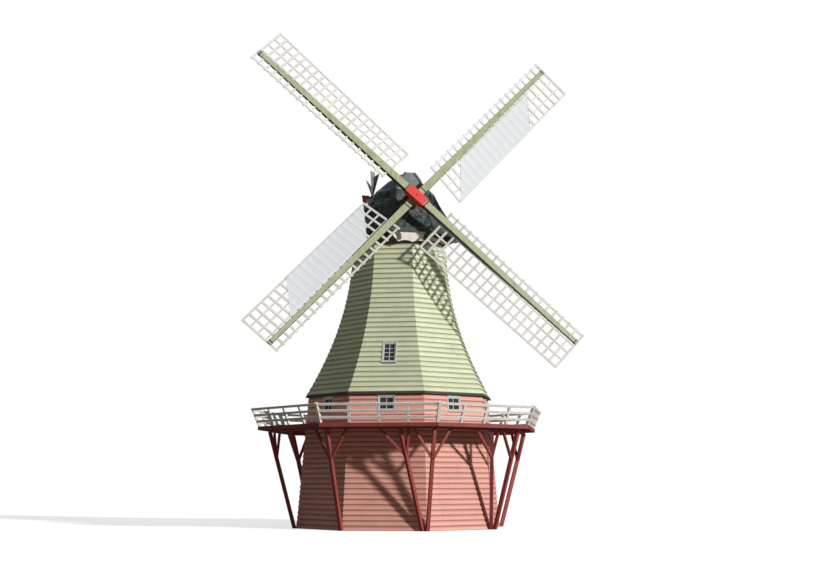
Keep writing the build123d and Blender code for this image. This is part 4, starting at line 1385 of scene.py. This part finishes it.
class StageSettings(bpy.types.PropertyGroup):
    """Camera and light."""

    yaw: number("Yaw", "Degrees that the camera stands to the left of the front", 14.5)
    pitch: number("Pitch", "Degrees that the camera looks up", 8.0)
    distance: length("Distance", "From the camera to the tower's axis", 75.0)
    eye: length("Eye height", "Height of the camera", 2.57)
    aside: length("Aside", "How far right of the axis the camera looks", 0.69)
    lens: number("Lens", "Focal length in millimetres", 59.5)
    sun_turn: number("Sun turn", "Degrees that the sun stands right of the camera", 52.0)
    sun_height: number("Sun height", "Degrees of the sun above the horizon", 19.0)
    sun_power: number("Sun power", "Strength of the sun", 3.3)
    fill_height: number("Fill height", "Degrees of the back light above the horizon", 35.0)
    fill_power: number("Fill power", "Strength of the back light", 1.3)
    sky: number("Sky", "Strength of the soft light round the object", 0.13)


def camera_axes():
    """The camera's level direction and the direction to its right."""
    turn = radians(bpy.context.scene.mill_stage.yaw)
    return Vector((sin(turn), cos(turn), 0)), Vector((cos(turn), -sin(turn), 0))


def stage_camera():
    """A camera at a visitor's eye height."""
    s = bpy.context.scene.mill_stage
    ahead, right = camera_axes()
    data = bpy.data.cameras.new("Camera")
    data.lens = s.lens
    data.clip_end = s.distance + 2 * FLOOR_HALF
    obj = bpy.data.objects.new("Camera", data)
    obj.location = right * s.aside - ahead * s.distance + Vector((0, 0, s.eye))
    look = ahead * cos(radians(s.pitch)) + Vector((0, 0, sin(radians(s.pitch))))
    obj.rotation_euler = look.to_track_quat("-Z", "Y").to_euler()
    bpy.context.scene.collection.objects.link(obj)
    bpy.context.scene.camera = obj


def far_light(name, side, height, power, tint):
    """A far light whose rays come from a level direction and an angle above the horizon."""
    towards = side * cos(radians(height)) + Vector((0, 0, sin(radians(height))))
    data = bpy.data.lights.new(name, "SUN")
    data.energy = power
    data.angle = radians(LIGHT_SPREAD)
    data.color = tint
    obj = bpy.data.objects.new(name, data)
    obj.rotation_euler = (-towards).to_track_quat("-Z", "Y").to_euler()
    bpy.context.scene.collection.objects.link(obj)
    return data


def stage_lights():
    """A soft sun from the right, and a weak light without a shadow for the side that the sun leaves dark."""
    s = bpy.context.scene.mill_stage
    ahead, right = camera_axes()
    turn = radians(s.sun_turn)
    far_light("Sun", right * sin(turn) - ahead * cos(turn), s.sun_height, s.sun_power, SUN_TINT)
    fill = far_light("Fill", ahead, s.fill_height, s.fill_power, FILL_TINT)
    fill.use_shadow = False


def stage_world():
    """A pale sky: white to the eye, soft for everything else."""
    world = bpy.data.worlds.new("World")
    bpy.context.scene.world = world
    world.use_nodes = True
    tree = world.node_tree
    tree.nodes.clear()
    path = add(tree, "ShaderNodeLightPath")
    seen = maths(tree, "MAXIMUM", path.outputs["Is Camera Ray"], path.outputs["Is Transmission Ray"])
    sky = bpy.context.scene.mill_stage.sky
    soft = add(tree, "ShaderNodeBackground", Color=SKY_TINT, Strength=sky)
    white = add(tree, "ShaderNodeBackground", Color=WHITE, Strength=1.0)
    both = add(tree, "ShaderNodeMixShader", n0=seen, n1=soft.outputs[0], n2=white.outputs[0])
    add(tree, "ShaderNodeOutputWorld", Surface=both.outputs[0])


def stage_floor():
    """A plain pale floor that keeps the object's shadow."""
    mesh = bpy.data.meshes.new("floor")
    corners = [(x * FLOOR_HALF, y * FLOOR_HALF, 0) for x, y in ((-1, -1), (1, -1), (1, 1), (-1, 1))]
    mesh.from_pydata(corners, [], [(0, 1, 2, 3)])
    floor = bpy.data.objects.new("floor", mesh)
    bpy.context.scene.collection.objects.link(floor)
    pale = bpy.data.materials.new("Floor")
    pale.use_nodes = True
    tree = pale.node_tree
    tree.nodes.clear()
    path = add(tree, "ShaderNodeLightPath")
    place = add(tree, "ShaderNodeTexCoord").outputs["Object"]
    fleck = maths(tree, "MULTIPLY", noise(tree, place, 0.5), FLOOR_FLECK)
    tone = maths(tree, "ADD", fleck, FLOOR_TONE)
    grey = add(tree, "ShaderNodeCombineColor", Red=tone, Green=tone, Blue=tone).outputs[0]
    lit = add(tree, "ShaderNodeBsdfDiffuse", Color=grey)
    lift = add(tree, "ShaderNodeEmission", Color=WHITE, Strength=FLOOR_GLOW)
    seen = add(tree, "ShaderNodeAddShader", n0=lit.outputs[0], n1=lift.outputs[0])
    other = add(tree, "ShaderNodeBsdfDiffuse", Color=FLOOR_BOUNCE)
    camera_ray = path.outputs["Is Camera Ray"]
    both = add(tree, "ShaderNodeMixShader", n0=camera_ray, n1=other.outputs[0], n2=seen.outputs[0])
    add(tree, "ShaderNodeOutputMaterial", Surface=both.outputs[0])
    mesh.materials.append(pale)


def stage():
    """Camera, light, sky and floor."""
    bpy.context.scene.view_settings.view_transform = "Standard"
    stage_camera()
    stage_lights()
    stage_world()
    stage_floor()


# Operators and panel


def run(build):
    """Runs one step, and raises an error if it made nothing."""
    before = len(bpy.data.objects) + len(bpy.data.materials)
    build()
    if len(bpy.data.objects) + len(bpy.data.materials) == before:
        raise RuntimeError(build.__name__ + " made nothing")
    return {"FINISHED"}


class MILL_OT_inner_pieces(bpy.types.Operator):
    """Materials of the walls, floors and panes"""

    bl_idname = "mill.inner_pieces"
    bl_label = "Walls and panes"
    bl_options = {"REGISTER", "UNDO"}

    def execute(self, context):
        return run(inner_pieces)


class MILL_OT_base_boards(bpy.types.Operator):
    """Weatherboards of the base"""

    bl_idname = "mill.base_boards"
    bl_label = "Base boards"
    bl_options = {"REGISTER", "UNDO"}

    def execute(self, context):
        return run(base_boards)


class MILL_OT_smock_boards(bpy.types.Operator):
    """Weatherboards of the smock"""

    bl_idname = "mill.smock_boards"
    bl_label = "Smock boards"
    bl_options = {"REGISTER", "UNDO"}

    def execute(self, context):
        return run(smock_boards)


class MILL_OT_windows(bpy.types.Operator):
    """Frames, casings, sills and sash bars"""

    bl_idname = "mill.windows"
    bl_label = "Windows"
    bl_options = {"REGISTER", "UNDO"}

    def execute(self, context):
        return run(windows)


class MILL_OT_deck_planks(bpy.types.Operator):
    """Planks of the gallery"""

    bl_idname = "mill.deck_planks"
    bl_label = "Deck"
    bl_options = {"REGISTER", "UNDO"}

    def execute(self, context):
        return run(deck_planks)


class MILL_OT_gallery_timbers(bpy.types.Operator):
    """Timbers of the gallery"""

    bl_idname = "mill.gallery_timbers"
    bl_label = "Gallery"
    bl_options = {"REGISTER", "UNDO"}

    def execute(self, context):
        return run(gallery_timbers)


class MILL_OT_gallery_bolts(bpy.types.Operator):
    """Bolt heads of the gallery"""

    bl_idname = "mill.gallery_bolts"
    bl_label = "Bolts"
    bl_options = {"REGISTER", "UNDO"}

    def execute(self, context):
        return run(gallery_bolts)


class MILL_OT_railing(bpy.types.Operator):
    """Railing round the gallery"""

    bl_idname = "mill.railing"
    bl_label = "Railing"
    bl_options = {"REGISTER", "UNDO"}

    def execute(self, context):
        return run(railing)


class MILL_OT_cap_roof(bpy.types.Operator):
    """Shingles, hood, hips and eaves"""

    bl_idname = "mill.cap_roof"
    bl_label = "Cap roof"
    bl_options = {"REGISTER", "UNDO"}

    def execute(self, context):
        return run(cap_roof)


class MILL_OT_cap_timbers(bpy.types.Operator):
    """Frame, bearings, brackets and front board"""

    bl_idname = "mill.cap_timbers"
    bl_label = "Cap timbers"
    bl_options = {"REGISTER", "UNDO"}

    def execute(self, context):
        return run(cap_timbers)


class MILL_OT_sail_set(bpy.types.Operator):
    """Shaft, stocks, lattices and cloths"""

    bl_idname = "mill.sail_set"
    bl_label = "Sails"
    bl_options = {"REGISTER", "UNDO"}

    def execute(self, context):
        return run(sail_set)


class MILL_OT_fantail(bpy.types.Operator):
    """Fan and its posts"""

    bl_idname = "mill.fantail"
    bl_label = "Fantail"
    bl_options = {"REGISTER", "UNDO"}

    def execute(self, context):
        return run(fantail)


class MILL_OT_stage(bpy.types.Operator):
    """Camera, light, sky and floor"""

    bl_idname = "mill.stage"
    bl_label = "Stage"
    bl_options = {"REGISTER", "UNDO"}

    def execute(self, context):
        return run(stage)


STEPS = (
    MILL_OT_inner_pieces,
    MILL_OT_base_boards,
    MILL_OT_smock_boards,
    MILL_OT_windows,
    MILL_OT_deck_planks,
    MILL_OT_gallery_timbers,
    MILL_OT_gallery_bolts,
    MILL_OT_railing,
    MILL_OT_cap_roof,
    MILL_OT_cap_timbers,
    MILL_OT_sail_set,
    MILL_OT_fantail,
    MILL_OT_stage,
)


class MILL_PT_panel(bpy.types.Panel):
    """Sizes, paints and steps of the windmill."""

    bl_label = "Windmill"
    bl_space_type = "VIEW_3D"
    bl_region_type = "UI"
    bl_category = "Windmill"

    def draw(self, context):
        layout = self.layout
        for step in STEPS:
            layout.operator(step.bl_idname)
        for group in (tower(), gallery(), cap(), sails(), paints(), context.scene.mill_stage):
            box = layout.box()
            for name in group.__annotations__:
                box.prop(group, name)


GROUPS = {
    "mill_tower": TowerSizes,
    "mill_gallery": GallerySizes,
    "mill_cap": CapSizes,
    "mill_sails": SailSizes,
    "mill_paints": Paints,
    "mill_stage": StageSettings,
}


def register():
    """Adds the settings, the operators and the panel."""
    for name, group in GROUPS.items():
        bpy.utils.register_class(group)
        setattr(bpy.types.Scene, name, bpy.props.PointerProperty(type=group))
    for step in STEPS:
        bpy.utils.register_class(step)
    bpy.utils.register_class(MILL_PT_panel)


def unregister():
    """Takes them away again."""
    bpy.utils.unregister_class(MILL_PT_panel)
    for step in reversed(STEPS):
        bpy.utils.unregister_class(step)
    for name, group in reversed(GROUPS.items()):
        delattr(bpy.types.Scene, name)
        bpy.utils.unregister_class(group)


def main():
    """Runs every step in order."""
    register()
    for step in STEPS:
        getattr(bpy.ops.mill, step.bl_idname.split(".")[1])()


if __name__ == "__main__":
    main()
